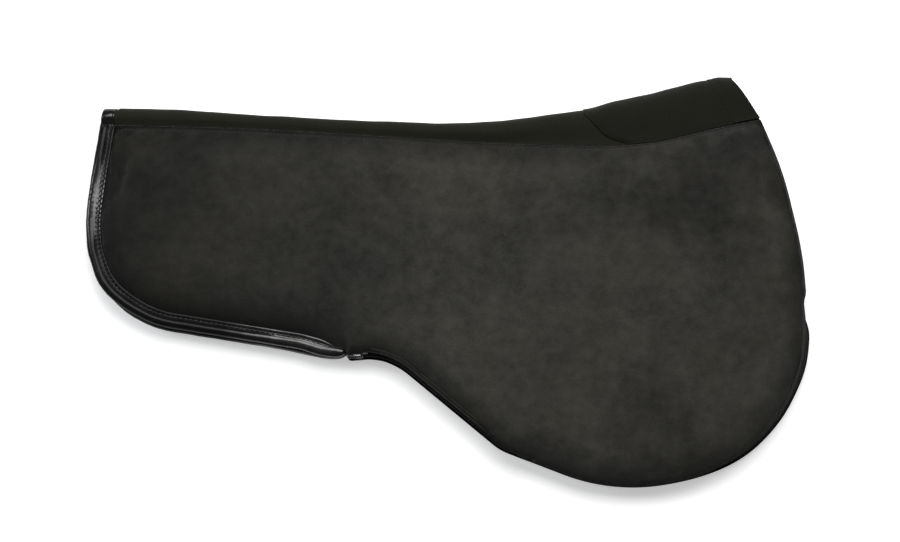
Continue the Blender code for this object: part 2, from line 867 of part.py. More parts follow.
def joined(obj, other, operation, cutters):
    """Adds the other mesh to the object, or cuts it away."""
    tool = bpy.data.objects.new(other.name, other)
    cutters.objects.link(tool)
    tool.hide_render = True
    tool.display_type = "WIRE"
    tool.parent = obj
    change = obj.modifiers.new(operation.lower(), "BOOLEAN")
    change.operation = operation
    change.object = tool


def zip_slider(prefix, side, material, collection, cutters, parent):
    """The slider, with its origin on the waist arc's centre line, which it turns about."""
    frame = slider_frame(side)
    origin = (*waist_centre(), FOLD_PLANE + side * ZIP_CENTRE)
    mesh = placed_mesh(f"{prefix}_zip_slider", slider_body(), frame, origin)
    obj = new_object(f"{prefix}_zip_slider", mesh, material, collection, parent)
    obj.location = origin
    bail = placed_mesh(f"{prefix}_zip_bail", slider_bail(), frame, origin)
    joined(obj, bail, "UNION", cutters)
    return obj


def zip_pull(prefix, side, material, collection, cutters, parent):
    """The pull, with its origin on the pivot under the slider's arch."""
    frame = slider_frame(side)
    origin = frame @ Vector((0.0, PULL_AXIS, 0.0))
    mesh = placed_mesh(f"{prefix}_zip_pull", pull_plate(), frame, origin)
    obj = new_object(f"{prefix}_zip_pull", mesh, material, collection, parent)
    obj.location = origin
    window = placed_mesh(f"{prefix}_zip_pull_window", pull_window(), frame, origin)
    joined(obj, window, "DIFFERENCE", cutters)
    return obj


# Scene


def material(name, colour, roughness, metallic=0.0):
    made = bpy.data.materials.new(name)
    made.use_nodes = True
    shader = made.node_tree.nodes["Principled BSDF"]
    shader.inputs["Base Color"].default_value = (*colour, 1.0)
    shader.inputs["Roughness"].default_value = roughness
    shader.inputs["Metallic"].default_value = metallic
    made.diffuse_color = (*colour, 1.0)
    return made


def materials():
    return {
        "suede": material("suede", (0.033, 0.033, 0.028), 0.95),
        "leather": material("leather", (0.008, 0.008, 0.008), 0.28),
        "mesh": material("mesh", (0.013, 0.013, 0.008), 0.85),
        "lining": material("lining", (0.020, 0.020, 0.017), 0.90),
        "foam": material("foam", (0.42, 0.41, 0.37), 0.95),
        "tape": material("tape", (0.010, 0.010, 0.010), 0.80),
        "teeth": material("teeth", (0.015, 0.015, 0.015), 0.40),
        "metal": material("metal", (0.16, 0.16, 0.165), 0.25, 1.0),
    }


def empty(name, location, turn, collection):
    made = bpy.data.objects.new(name, None)
    collection.objects.link(made)
    made.location = location
    made.rotation_euler.z = turn
    made.empty_display_size = 0.02
    bpy.context.view_layer.update()
    return made


def fold_line():
    """A point on the fold line and its direction towards the pad's front."""
    rear = Vector((REAR_HEM[0], REAR_HEM[1] + FOLD_ABOVE_REAR_HEM, FOLD_PLANE))
    front = Vector((FRONT_HEM[0], FRONT_HEM[1] + FOLD_ABOVE_FRONT_HEM, FOLD_PLANE))
    return (rear + front) / 2, (front - rear).normalized()


SOFT_PIECES = {
    "outer_cover": (outer_cover, "suede"),
    "foam_insert": (foam_insert, "foam"),
    "lining": (lining, "lining"),
    "rear_binding": (rear_binding, "leather"),
    "zip_tape_outer": (zip_tape_outer, "tape"),
    "zip_tape_inner": (zip_tape_inner, "tape"),
    "zip_teeth_outer": (zip_teeth_outer, "teeth"),
    "zip_teeth_inner": (zip_teeth_inner, "teeth"),
    "zip_top_stop_outer": (zip_top_stop_outer, "metal"),
    "zip_top_stop_inner": (zip_top_stop_inner, "metal"),
    "zip_bottom_stop": (zip_bottom_stop, "metal"),
}


def make_half(prefix, side, look, collection, cutters, carrier):
    for piece, (solid, slot) in SOFT_PIECES.items():
        name = f"{prefix}_{piece}"
        mesh = closed_mesh(name, *solid(), side)
        obj = new_object(name, mesh, look[slot], collection, carrier)
        obj.location = (0.0, 0.0, FOLD_PLANE)
    slider = zip_slider(prefix, side, look["metal"], collection, cutters, carrier)
    bpy.context.view_layer.update()
    zip_pull(prefix, side, look["metal"], collection, cutters, slider)


def make_spine(look, collection, carrier):
    band = band_sheet(spine_rows, -LEG_OVERLAP, 0.0)
    panel = band_sheet(panel_rows, SEAM_GAP, PANEL_OUTSET)
    front = band_sheet(front_hem_rows, SEAM_GAP, FRONT_HEM_OUTSET)
    sheet_object("spine_mesh", band, MESH, look["mesh"], collection, carrier)
    sheet_object("withers_panel", panel, PANEL_MESH, look["mesh"], collection, carrier)
    sheet_object("withers_front_hem", front, FRONT_HEM_MESH, look["mesh"], collection, carrier)
    solid = swept_solid(spine_binding_profile(), spine_binding_sections())
    mesh = closed_mesh("spine_rear_binding", *solid)
    obj = new_object("spine_rear_binding", mesh, look["leather"], collection, carrier)
    obj.location = (0.0, 0.0, FOLD_PLANE)


def clear_scene():
    for obj in list(bpy.data.objects):
        bpy.data.objects.remove(obj, do_unlink=True)


def main():
    clear_scene()
    scene = bpy.context.scene.collection
    parts = bpy.data.collections.new(COLLECTION)
    cutters = bpy.data.collections.new("cutters")
    scene.children.link(parts)
    scene.children.link(cutters)
    look = materials()
    at, along = fold_line()
    ground = empty("ground", (0.0, 0.0, 0.0), 0.0, parts)
    hinge = empty("fold_line", at, math.atan2(along.y, along.x), parts)
    make_half("left", LEFT, look, parts, cutters, ground)
    make_half("right", RIGHT, look, parts, cutters, hinge)
    make_spine(look, parts, ground)
    print("fold line through", tuple(np.round(at, 5)), "along", tuple(np.round(along, 6)))
    print("waist arc's centre", tuple(np.round(waist_centre(), 5)))
    pivot = slider_frame(RIGHT) @ Vector((0.0, PULL_AXIS, 0.0))
    print("right pull's pivot", tuple(round(v, 5) for v in pivot))


if __name__ == "__main__":
    main()
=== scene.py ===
"""The looks of a half pad that lies closed on its left side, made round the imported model.

Every soft piece is a surface worked out with numpy. The plan of one half is a free edge of straights and
arcs, with a sagging hem on top. Heights are measured from the fold plane between the halves, outwards.
The left half mirrors the right one in that plane, but for the drift of its edges. Lengths are in metres.
"""

import math

import bpy
import numpy as np
from bpy.props import FloatProperty, FloatVectorProperty, IntProperty, PointerProperty
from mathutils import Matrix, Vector


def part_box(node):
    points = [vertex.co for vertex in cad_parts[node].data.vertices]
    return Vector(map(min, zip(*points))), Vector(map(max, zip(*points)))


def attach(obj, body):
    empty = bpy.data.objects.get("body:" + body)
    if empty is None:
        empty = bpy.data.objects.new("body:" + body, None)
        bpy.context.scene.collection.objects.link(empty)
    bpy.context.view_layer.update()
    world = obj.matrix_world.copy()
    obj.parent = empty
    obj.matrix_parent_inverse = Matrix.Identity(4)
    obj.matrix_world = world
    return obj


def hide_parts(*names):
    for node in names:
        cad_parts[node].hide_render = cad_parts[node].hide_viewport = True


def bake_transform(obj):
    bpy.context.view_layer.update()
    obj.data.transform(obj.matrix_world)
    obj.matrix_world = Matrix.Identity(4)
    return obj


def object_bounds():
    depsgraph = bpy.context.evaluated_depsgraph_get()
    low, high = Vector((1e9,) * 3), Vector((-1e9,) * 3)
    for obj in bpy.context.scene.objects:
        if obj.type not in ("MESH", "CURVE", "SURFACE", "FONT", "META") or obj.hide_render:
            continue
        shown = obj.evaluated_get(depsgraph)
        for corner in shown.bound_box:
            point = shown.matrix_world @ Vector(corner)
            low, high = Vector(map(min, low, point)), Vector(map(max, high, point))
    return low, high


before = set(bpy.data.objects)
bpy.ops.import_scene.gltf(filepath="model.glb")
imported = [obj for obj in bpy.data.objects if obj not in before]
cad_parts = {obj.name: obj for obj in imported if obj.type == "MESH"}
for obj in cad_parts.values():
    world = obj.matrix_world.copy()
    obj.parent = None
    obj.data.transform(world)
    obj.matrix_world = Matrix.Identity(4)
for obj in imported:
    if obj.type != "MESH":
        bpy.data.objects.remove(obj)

bl_info = {
    "name": "Half Pad",
    "version": (1, 0, 0),
    "blender": (4, 5, 0),
    "location": "3D View > Sidebar > Half Pad",
    "description": "Suede half pad with a mesh spine, a leather-bound rear and a zip in each side wall",
    "category": "Add Mesh",
}

CAD_LOW, CAD_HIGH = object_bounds()
FOLD_PLANE = (CAD_LOW.z + CAD_HIGH.z) / 2

# Free edge of one half from the hem's rear end: a straight's length or an arc's radius, then its turn
FIRST_HEADING = -97.9
TOE_RADIUS = 0.1282
FREE_EDGE = (
    ("rear", 0.0734, 0.0),
    ("rear_corner", 0.0899, 88.7),
    ("belly", 0.1317, 0.0),
    ("belly_end", 0.040, 9.2),
    ("zip_lead", 0.0202, 0.0),
    ("waist", 0.062, -39.6),
    ("zip_run", 0.0917, 0.0),
    ("zip_end", 0.042, 18.6),
    ("flap", 0.0484, 0.0),
    ("sole", 0.1588, 49.0),
    ("toe", TOE_RADIUS, 66.3),
    ("front", 0.0577, 0.0),
    ("shoulder", 0.2904, 17.5),
    ("shoulder_end", 0.0236, 0.0),
)
# The hem's sag and the ridge's rise over the hem, at shares of the way from the rear to the front
HEM_SAG = (
    (0.0, 0.0), (0.2, 0.0038), (0.39, 0.0102), (0.575, 0.0177), (0.697, 0.0205),
    (0.775, 0.0216), (0.855, 0.0176), (0.905, 0.0110), (0.955, 0.0048), (1.0, 0.0),
)
RIDGE_RISE = (
    (0.0, 0.0128), (0.037, 0.0133), (0.08, 0.0136), (0.14, 0.0127), (0.2, 0.0116), (0.27, 0.0109),
    (0.35, 0.0109), (0.42, 0.0115), (0.483, 0.0128), (0.545, 0.0146), (0.6, 0.0177), (0.65, 0.0218),
    (0.7, 0.0264), (0.74, 0.0302), (0.78, 0.0342), (0.82, 0.0369), (0.87, 0.0374), (0.92, 0.0358),
    (0.97, 0.0336), (1.0, 0.0300),
)
RIDGE_PRESS = 0.0015
RIDGE_PRESS_RUN = 0.0030
FRONT_RAKE = 0.0235
RAKE_START = 0.78
REAR_LEAN = math.radians(7.9)
REAR_LEAN_SHARE = 0.12
# Samples of the free edge for its box and for a grid's lower side, and for finding the nearest place
DENSE_SAMPLES = 4000
EDGE_SAMPLES = 700

# Layers of one half, from the fold plane outwards
CLEARANCE = 0.0003
LEATHER = 0.0010
MESH = 0.0030
PANEL_MESH = 0.0024
FRONT_HEM_MESH = 0.0018
LAYER_GAP = 0.0005
SUEDE = 0.0009
LINING_LOW = 0.0016
MESH_MIDDLE = 0.0031
LINING_TOP = 0.0046
RIM_LOW = 0.0049
FLANGE_TOP = 0.0061
FLAP_WALL_TOP = 0.0073
ZIP_CENTRE = 0.0090
ZIP_WALL_RIM = 0.0126
HALF_THICKNESS = FOLD_PLANE

# Cover, binding and zip
HEM_BAND = 0.0045
HEM_DROP = 0.0016
HEM_FLAT = 0.0018
HEM_ROLL = 0.026
BINDING_ROLL_OFF = 0.026
ZIP_ROLL_OFF = 0.025
FLAP_ROLL_OFF = 0.030
ROLL_RADIUS = 0.00425
BINDING_WIDTH = 0.0127
EDGE_TUCK = 0.0036
BINDING_END = 0.0080
SPINE_BINDING_WIDTH = 0.0115
LEG_OVERLAP = 0.008
SPINE_ROLL = 0.0085
FRONT_HEM_WIDTH = 0.0195
PANEL_AT_RIDGE = 0.146
PANEL_AT_HEM = 0.1208
PANEL_CORNER = 0.014
PANEL_CORNER_RISE = 0.25
PANEL_REAR_RISE = 0.63
ZIP_FADE = 0.0024
ZIP_TAIL = 0.0060
ZIP_SETBACK = 0.0030
STOP_LENGTH = 0.0027
TAPE_THICKNESS = 0.0006

RIGHT, LEFT = 1.0, -1.0
HALVES = (("right", RIGHT), ("left", LEFT))

# The halves don't lie quite edge on edge: place along the free edge, then how far the edge lies outside it.
# The upper cover is drawn in beside its zip and swells a little at the front; the lower half peeks out.
EDGE_DRIFT = {
    RIGHT: (
        (0.0, 0.0), (0.045, 0.0), (0.092, -0.0015), (0.118, 0.0), (0.142, 0.0021), (0.180, 0.0),
        (0.316, 0.0), (0.338, 0.0024), (0.357, 0.0026), (0.3665, -0.0006), (0.385, -0.0034),
        (0.480, -0.0032), (0.540, 0.0), (0.8600, 0.0), (0.8700, 0.0027), (0.8880, 0.0030), (0.9450, 0.0),
    ),
    LEFT: (
        (0.0, 0.0), (0.045, 0.0), (0.092, -0.0015), (0.115, 0.0), (0.170, 0.0018), (0.300, 0.0018),
        (0.338, 0.0034), (0.357, 0.0028), (0.3675, 0.0018), (0.3790, 0.0006), (0.3900, 0.0), (0.650, 0.0),
        (0.735, 0.0036), (0.780, 0.0042), (0.812, 0.0054), (0.834, 0.0052), (0.860, 0.0),
    ),
}
DRIFT_FADE = {RIGHT: 0.034, LEFT: 0.080}


# Settings


class HalfPadShape(bpy.types.PropertyGroup):
    """How full and how creased the soft pieces are."""

    pressure: FloatProperty(
        name="Pressure", description="Push of the filling on the cover", default=4.0, min=0.0
    )
    slack: FloatProperty(
        name="Slack", description="Share by which the cover's cloth is larger than its place", default=0.012
    )
    puff: FloatProperty(
        name="Puff", description="Farthest that the filled cover moves", default=0.0030,
        unit="LENGTH", subtype="DISTANCE",
    )
    frames: IntProperty(name="Frames", description="Frames that the cloth settles for", default=20, min=2)
    pucker: FloatProperty(
        name="Pucker", description="Depth of the gathers along the hem", default=0.0003,
        unit="LENGTH", subtype="DISTANCE",
    )


class HalfPadSewing(bpy.types.PropertyGroup):
    """The seams' stitches and the zip's teeth."""

    hem_pitch: FloatProperty(
        name="Hem pitch", description="Length of a stitch on the hem", default=0.0030,
        unit="LENGTH", subtype="DISTANCE",
    )
    binding_pitch: FloatProperty(
        name="Binding pitch", description="Length of a stitch on the leather", default=0.0043,
        unit="LENGTH", subtype="DISTANCE",
    )
    thread: FloatProperty(
        name="Thread", description="Thread's diameter", default=0.0007, unit="LENGTH", subtype="DISTANCE"
    )
    tooth_pitch: FloatProperty(
        name="Tooth pitch", description="Spacing of the zip's teeth", default=0.0016,
        unit="LENGTH", subtype="DISTANCE",
    )


class HalfPadColours(bpy.types.PropertyGroup):
    """Colours of the finishes, as linear values."""

    suede: FloatVectorProperty(
        name="Suede", description="Cover's colour", subtype="COLOR", default=(0.0322, 0.0313, 0.0270)
    )
    leather: FloatVectorProperty(
        name="Leather", description="Binding's colour", subtype="COLOR", default=(0.0036, 0.0036, 0.0039)
    )
    mesh: FloatVectorProperty(
        name="Mesh", description="Spine mesh's colour", subtype="COLOR", default=(0.0086, 0.0083, 0.0036)
    )
    lining: FloatVectorProperty(
        name="Lining", description="Lining's colour", subtype="COLOR", default=(0.0180, 0.0180, 0.0150)
    )
    foam: FloatVectorProperty(
        name="Foam", description="Insert's colour", subtype="COLOR", default=(0.42, 0.41, 0.37)
    )
    tape: FloatVectorProperty(
        name="Tape", description="Zip tape's colour", subtype="COLOR", default=(0.0220, 0.0208, 0.0155)
    )
    teeth: FloatVectorProperty(
        name="Teeth", description="Zip teeth's colour", subtype="COLOR", default=(0.0120, 0.0120, 0.0120)
    )
    thread: FloatVectorProperty(
        name="Thread", description="Thread's colour", subtype="COLOR", default=(0.0070, 0.0070, 0.0060)
    )
    metal: FloatVectorProperty(
        name="Metal", description="Slider's colour", subtype="COLOR", default=(0.30, 0.30, 0.31)
    )


class HalfPadStage(bpy.types.PropertyGroup):
    """Camera and light."""

    camera_tilt: FloatProperty(
        name="Camera tilt", description="Angle between the view and straight down",
        default=math.radians(9.0), subtype="ANGLE",
    )
    camera_distance: FloatProperty(
        name="Camera distance", description="From the camera to its target", default=1.6,
        unit="LENGTH", subtype="DISTANCE",
    )
    frame_width: FloatProperty(
        name="Frame width", description="Width seen at the target", default=0.750,
        unit="LENGTH", subtype="DISTANCE",
    )
    target: FloatVectorProperty(
        name="Target", description="Middle of the picture", default=(0.0062, 0.0056, 0.020),
        subtype="XYZ", unit="LENGTH",
    )
    key_power: FloatProperty(name="Key light", description="Power of the large light", default=22.6)
    side_power: FloatProperty(name="Side light", description="Power of the light at the rear", default=2.7)
    sky: FloatProperty(name="Sky", description="Strength of the light from all round", default=0.12)


# Plan of one half


def smooth_step(t):
    t = np.clip(t, 0.0, 1.0)
    return t * t * (3.0 - 2.0 * t)


def ramp(x, start, run):
    """0 up to the start and 1 past the run."""
    return smooth_step((x - start) / run)


def bell(x, middle, reach):
    """A bell curve, 1 at its middle."""
    return np.exp(-((x - middle) / reach) ** 2)


def climb(share):
    """Height of a quarter ellipse, from 0 at its foot to 1 at its top."""
    return np.sqrt(np.clip(1.0 - (1.0 - np.clip(share, 0.0, 1.0)) ** 2, 0.0, 1.0))


def steps_through(knots):
    """A function that goes from knot to knot by smooth steps, level at each knot."""
    at, value = np.array(knots, float).T

    def height(x):
        i = np.clip(np.searchsorted(at, x, side="right") - 1, 0, len(at) - 2)
        return value[i] + (value[i + 1] - value[i]) * smooth_step((x - at[i]) / (at[i + 1] - at[i]))

    return height


def curve_through(knots):
    """A smooth function through the knots: cubic pieces whose slopes come from the neighbouring knots."""
    at, value = np.array(knots, float).T
    slope = np.gradient(value, at)

    def height(x):
        x = np.clip(x, at[0], at[-1])
        i = np.clip(np.searchsorted(at, x, side="right") - 1, 0, len(at) - 2)
        span = at[i + 1] - at[i]
        t = (x - at[i]) / span
        rise = value[i] * (1 + 2 * t) * (1 - t) ** 2 + value[i + 1] * t * t * (3 - 2 * t)
        return rise + span * (slope[i] * t * (1 - t) ** 2 - slope[i + 1] * t * t * (1 - t))

    return height


class EdgePath:
    """The free edge. A place on it is its distance from the hem's rear end.

    A run of length r on a piece of curvature k that starts at heading h ends r sinc(kr/2) away, in the
    direction h + kr/2, for arcs and for straights alike.
    """

    def __init__(self, start):
        rows, self.marks = [], {}
        at, place, heading = np.array(start, float), 0.0, math.radians(FIRST_HEADING)
        for name, size, turn in FREE_EDGE:
            turn = math.radians(turn)
            length = size * abs(turn) if turn else size
            bend = turn / length
            rows.append((place, at[0], at[1], heading, bend))
            at = at + self.chord(length, heading, bend)
            self.marks[name] = place
            place, heading = place + length, heading + turn
        self.start, self.end, self.length = np.array(start, float), at, place
        self.starts, self.x, self.y, self.heading, self.bend = np.array(rows).T

    @staticmethod
    def chord(run, heading, bend):
        middle = heading + bend * run / 2
        reach = run * np.sinc(bend * run / 2 / math.pi)
        return np.stack([reach * np.cos(middle), reach * np.sin(middle)], -1)

    def piece(self, place):
        return np.clip(np.searchsorted(self.starts, place, side="right") - 1, 0, len(self.starts) - 1)

    def point(self, place):
        i = self.piece(place)
        origin = np.stack([self.x[i], self.y[i]], -1)
        return origin + self.chord(place - self.starts[i], self.heading[i], self.bend[i])

    def direction(self, place):
        i = self.piece(place)
        angle = self.heading[i] + self.bend[i] * (place - self.starts[i])
        return np.stack([np.cos(angle), np.sin(angle)], -1)

    def inward(self, place):
        along = self.direction(place)
        return np.stack([-along[..., 1], along[..., 0]], -1)

    def inset(self, place, depth):
        return self.point(place) + np.asarray(depth)[..., None] * self.inward(place)


def placed_path():
    """The free edge, with its box centred on X and its lowest point at the CAD cover's."""
    path = EdgePath((0.0, 0.0))
    edge = path.point(np.linspace(0.0, path.length, DENSE_SAMPLES))
    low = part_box("right_outer_cover")[0].y
    return EdgePath((-(edge[:, 0].min() + edge[:, 0].max()) / 2, low - edge[:, 1].min()))


PATH = placed_path()
RUN = PATH.end[0] - PATH.start[0]
SAG = curve_through(HEM_SAG)
RIDGE = curve_through(RIDGE_RISE)
BINDING_STOP = PATH.marks["zip_lead"] + BINDING_END
ZIP_START = BINDING_STOP + ZIP_FADE
ZIP_STOP = PATH.marks["flap"] + ZIP_TAIL
ROW_START = ZIP_START + STOP_LENGTH + CLEARANCE
ROW_STOP = ZIP_STOP - STOP_LENGTH - CLEARANCE


def hem_height(x):
    """The hem's Y at X: a straight between its ends, less the sag."""
    share = (x - PATH.start[0]) / RUN
    return PATH.start[1] + (PATH.end[1] - PATH.start[1]) * share - SAG(share)


def spine_rise(share):
    """How far the spine's ridge stands over the hem. The rear leather presses it in."""
    left = share * RUN - SPINE_BINDING_WIDTH
    return RIDGE(share) - RIDGE_PRESS * (1.0 - smooth_step(left / RIDGE_PRESS_RUN))


def along_edge(place, bound, zipped, sewn):
    """A value that is set on the bound stretch, the zipped one and the sewn one, and runs between."""
    stops = [BINDING_STOP, ZIP_START, ZIP_STOP, ZIP_STOP + ZIP_FADE]
    return np.interp(place, stops, [bound, zipped, zipped, sewn])


def ripple(a, b, waves):
    """A sum of sines: each wave has its length along a, its length along b, a phase and an amount."""
    return sum(
        amount * np.sin(2 * math.pi * (a / long_a + b / long_b) + phase)
        for long_a, long_b, phase, amount in waves
    )


def edge_distance(rows):
    """Distance inside the free edge of rows of plan points, and the nearest place on it, end to end.

    The nearest of evenly spaced places is moved by the point's offset along the edge there.
    """
    places = np.linspace(0.0, PATH.length, EDGE_SAMPLES)
    reach = places[1] / 2
    edge, inward, along = PATH.point(places), PATH.inward(places), PATH.direction(places)
    distance, nearest = [], []
    for row in rows:
        best = np.argmin(((row[:, None] - edge[None]) ** 2).sum(-1), axis=1)
        away = row - edge[best]
        distance.append(np.einsum("ij,ij->i", away, inward[best]))
        offset = np.clip(np.einsum("ij,ij->i", away, along[best]), -reach, reach)
        nearest.append(np.clip(places[best] + offset, 0.0, PATH.length))
    return np.maximum(np.concatenate(distance), 0.0), np.concatenate(nearest)


def grid_distance(plan):
    """The same for a grid of plan points, as two grids."""
    return (values.reshape(plan.shape[:2]) for values in edge_distance(plan))


# Points and meshes


def raised(plan, height):
    """Plan points, each with its height."""
    height = np.broadcast_to(height, plan.shape[:-1])
    return np.concatenate([plan, height[..., None]], -1)


def lengths_along(points):
    """Distance from a row's first point, along the row."""
    step = np.linalg.norm(np.diff(points, axis=-2), axis=-1)
    return np.concatenate([np.zeros((*step.shape[:-1], 1)), np.cumsum(step, -1)], -1)


def grid_faces(rows, columns, first=0, closed=False):
    """Quads of a grid numbered row by row; a closed one joins its last column to its first."""
    row = np.arange(rows - 1)[:, None]
    column = np.arange(columns if closed else columns - 1)[None, :]
    a = first + row * columns + column
    b = first + row * columns + (column + 1) % columns
    return np.stack([a, b, b + columns, a + columns], -1).reshape(-1, 4)


def tube_faces(rows, columns):
    """Faces of a tube of closed rows, with a cap on its first row and on its last."""
    last = (rows - 1) * columns
    caps = [list(range(columns))[::-1], list(range(last, last + columns))]
    return [*map(list, grid_faces(rows, columns, closed=True)), *caps]


def outward_faces(points, faces):
    """The same faces, turned over if the closed surface encloses a negative volume."""
    points = points.reshape(-1, 3)
    quads = np.array([f for f in faces if len(f) == 4])
    a, b, c, d = (points[quads[:, i]] for i in range(4))
    volume = np.einsum("ij,ij->", a, np.cross(b, c)) + np.einsum("ij,ij->", a, np.cross(c, d))
    for ring in (points[f] for f in faces if len(f) != 4):
        volume += np.einsum("ij,j->", np.cross(ring[1:-1], ring[2:]), ring[0])
    return faces if volume > 0 else [f[::-1] for f in faces]


def repeated_faces(faces, points, copies):
    """The faces of a row of copies, each with this many points."""
    return [[number + i * points for number in face] for i in range(copies) for face in faces]


def swept(place, profile):
    """Closed sections of (across, height), one for each place, carried square along the free edge.

    Gives points, faces with capped ends, and UVs: the run along the edge and the run round the section.
    """
    plan = PATH.point(place)[:, None] + profile[..., :1] * PATH.inward(place)[:, None]
    points = np.concatenate([plan, profile[..., 1:]], -1)
    uv = np.stack(np.broadcast_arrays(place[:, None], lengths_along(profile)), -1)
    return points, tube_faces(*points.shape[:2]), uv


def rim_loop(rows, columns):
    """Point numbers round a grid: along the first row, down, back along the last row, and up."""
    top = np.arange(columns)
    front = np.arange(1, rows) * columns + columns - 1
    lower = (rows - 1) * columns + np.arange(columns - 2, -1, -1)
    rear = np.arange(rows - 2, 0, -1) * columns
    return np.concatenate([top, front, lower, rear])


def slab(upper, lower):
    """Points and faces of a closed body: two surfaces on grids of one shape, and the wall round them."""
    rows, columns = upper.shape[:2]
    near = rim_loop(rows, columns)
    far = near + rows * columns
    wall = np.stack([near, far, np.roll(far, -1), np.roll(near, -1)], -1)
    faces = [*grid_faces(rows, columns)[:, ::-1], *grid_faces(rows, columns, rows * columns), *wall]
    return np.concatenate([upper.reshape(-1, 3), lower.reshape(-1, 3)]), faces


# Points that are set against the whole edge at a time
CHUNK = 400


def on_side(points, side):
    """Points with a height over the fold plane, put on the right or the left half."""
    placed = np.array(points, float)
    placed[..., 2] = FOLD_PLANE + side * placed[..., 2]
    return placed


def laid(points, side):
    """Points on a half, with the drift of its edge: square to the edge, and fading out inside it."""
    placed = on_side(points, side)
    flat = placed.reshape(-1, 3)
    distance, nearest = edge_distance(np.array_split(flat[:, :2], len(flat) // CHUNK + 1))
    drift = steps_through(EDGE_DRIFT[side])(nearest)
    drift *= 1 - smooth_step(distance / DRIFT_FADE[side])
    flat[:, :2] -= drift[:, None] * PATH.inward(nearest)
    return placed


def new_piece(name, points, faces, finish, uv=None, attributes=None):
    """A mesh object at the origin. uv and attributes have one value a point."""
    mesh = bpy.data.meshes.new(name)
    mesh.from_pydata(points.reshape(-1, 3).tolist(), [], [list(map(int, f)) for f in faces])
    mesh.shade_smooth()
    if uv is not None:
        corner = np.zeros(len(mesh.loops), np.int32)
        mesh.loops.foreach_get("vertex_index", corner)
        layer = mesh.uv_layers.new(name="UVMap")
        layer.data.foreach_set("uv", uv.reshape(-1, 2)[corner].astype(np.float32).ravel())
    for key, value in (attributes or {}).items():
        layer = mesh.attributes.new(key, "FLOAT", "POINT")
        layer.data.foreach_set("value", value.astype(np.float32).ravel())
    mesh.materials.append(finish)
    piece = bpy.data.objects.new(name, mesh)
    bpy.context.scene.collection.objects.link(piece)
    return piece


def closed_piece(name, points, faces, finish, uv=None):
    """A mesh object whose faces point out of its closed body."""
    return new_piece(name, points, outward_faces(points, faces), finish, uv)


def apply_modifiers(piece):
    """Puts the evaluated mesh in place of the piece's own."""
    graph = bpy.context.evaluated_depsgraph_get()
    worked = piece.evaluated_get(graph)
    mesh = bpy.data.meshes.new_from_object(worked, preserve_all_data_layers=True, depsgraph=graph)
    piece.modifiers.clear()
    piece.data = mesh


def settle(piece, slot, body, *replaced):
    """Hides the CAD nodes that the piece replaces and hangs it on its body's empty, or bakes its place in
    where it spans both halves. The slot is not used.
    """
    if replaced:
        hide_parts(*replaced)
    if body == "both":
        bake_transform(piece)
    else:
        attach(piece, body)
    return piece


# Finishes


class Nodes:
    """A short way to write a material's nodes. A value is a number, a vector or another node's output."""

    def __init__(self, name):
        self.material = bpy.data.materials.new(name)
        self.material.use_nodes = True
        self.tree = self.material.node_tree
        self.shader = self.tree.nodes["Principled BSDF"]

    def put(self, node, key, value):
        socket = node.inputs[key]
        if isinstance(value, bpy.types.NodeSocket):
            self.tree.links.new(value, socket)
        else:
            socket.default_value = value

    def node(self, kind, settings=None, inputs=()):
        """A new node with its settings, and a value in each of its named or numbered inputs."""
        node = self.tree.nodes.new(kind)
        for key, value in (settings or {}).items():
            setattr(node, key, value)
        for key, value in dict(inputs).items():
            self.put(node, key, value)
        return node

    def make(self, kind, settings=None, **inputs):
        """A new node's first output. An input's name has _ for its spaces."""
        named = {key.replace("_", " "): value for key, value in inputs.items()}
        return self.node(kind, settings, named).outputs[0]

    def math(self, operation, a, b=0.0, c=0.0):
        return self.node("ShaderNodeMath", {"operation": operation}, enumerate((a, b, c))).outputs[0]

    def vector(self, operation, a, b):
        return self.node("ShaderNodeVectorMath", {"operation": operation}, ((0, a), (1, b)))

    def times(self, value, *others):
        """The product of all the values."""
        for other in others:
            value = self.math("MULTIPLY", value, other)
        return value

    def coordinates(self, kind):
        return self.tree.nodes.new("ShaderNodeTexCoord").outputs[kind]

    def distance(self, vector, centre):
        return self.vector("DISTANCE", vector, centre).outputs["Value"]

    def attribute(self, name):
        return self.node("ShaderNodeAttribute", {"attribute_name": name}).outputs["Fac"]

    def mapped(self, vector, scale=(1, 1, 1), rotation=(0, 0, 0)):
        return self.make("ShaderNodeMapping", Vector=vector, Scale=scale, Rotation=rotation)

    def noise(self, vector, size, detail=2.0, roughness=0.5):
        """Soft noise from 0 to 1 whose lumps are about this long."""
        scale = 1.0 / size
        return self.make("ShaderNodeTexNoise", Vector=vector, Scale=scale, Detail=detail, Roughness=roughness)

    def spread(self, value, low, high, to_low=0.0, to_high=1.0):
        """The value from low to high, stretched over the new range and clamped."""
        inputs = enumerate((value, low, high, to_low, to_high))
        return self.node("ShaderNodeMapRange", None, inputs).outputs[0]

    def swing(self, noise, to_low, to_high, reach=0.2):
        """Noise, which keeps near its middle, stretched over the new range from this far on both sides."""
        return self.spread(noise, 0.5 - reach, 0.5 + reach, to_low, to_high)

    def shade(self, colour, value):
        """The colour times a value that varies about 1."""
        inputs = {0: colour, "Scale": value}
        return self.node("ShaderNodeVectorMath", {"operation": "SCALE"}, inputs).outputs[0]

    def relief(self, *layers):
        """A normal from bumps on each other, each with its height, distance and strength."""
        normal = None
        for height, distance, strength in layers:
            inputs = {"Height": height, "Distance": distance, "Strength": strength}
            if normal is not None:
                inputs["Normal"] = normal
            normal = self.node("ShaderNodeBump", None, inputs).outputs[0]
        return normal

    def finish(self, **inputs):
        for key, value in inputs.items():
            self.put(self.shader, key.replace("_", " "), value)
        return self.material
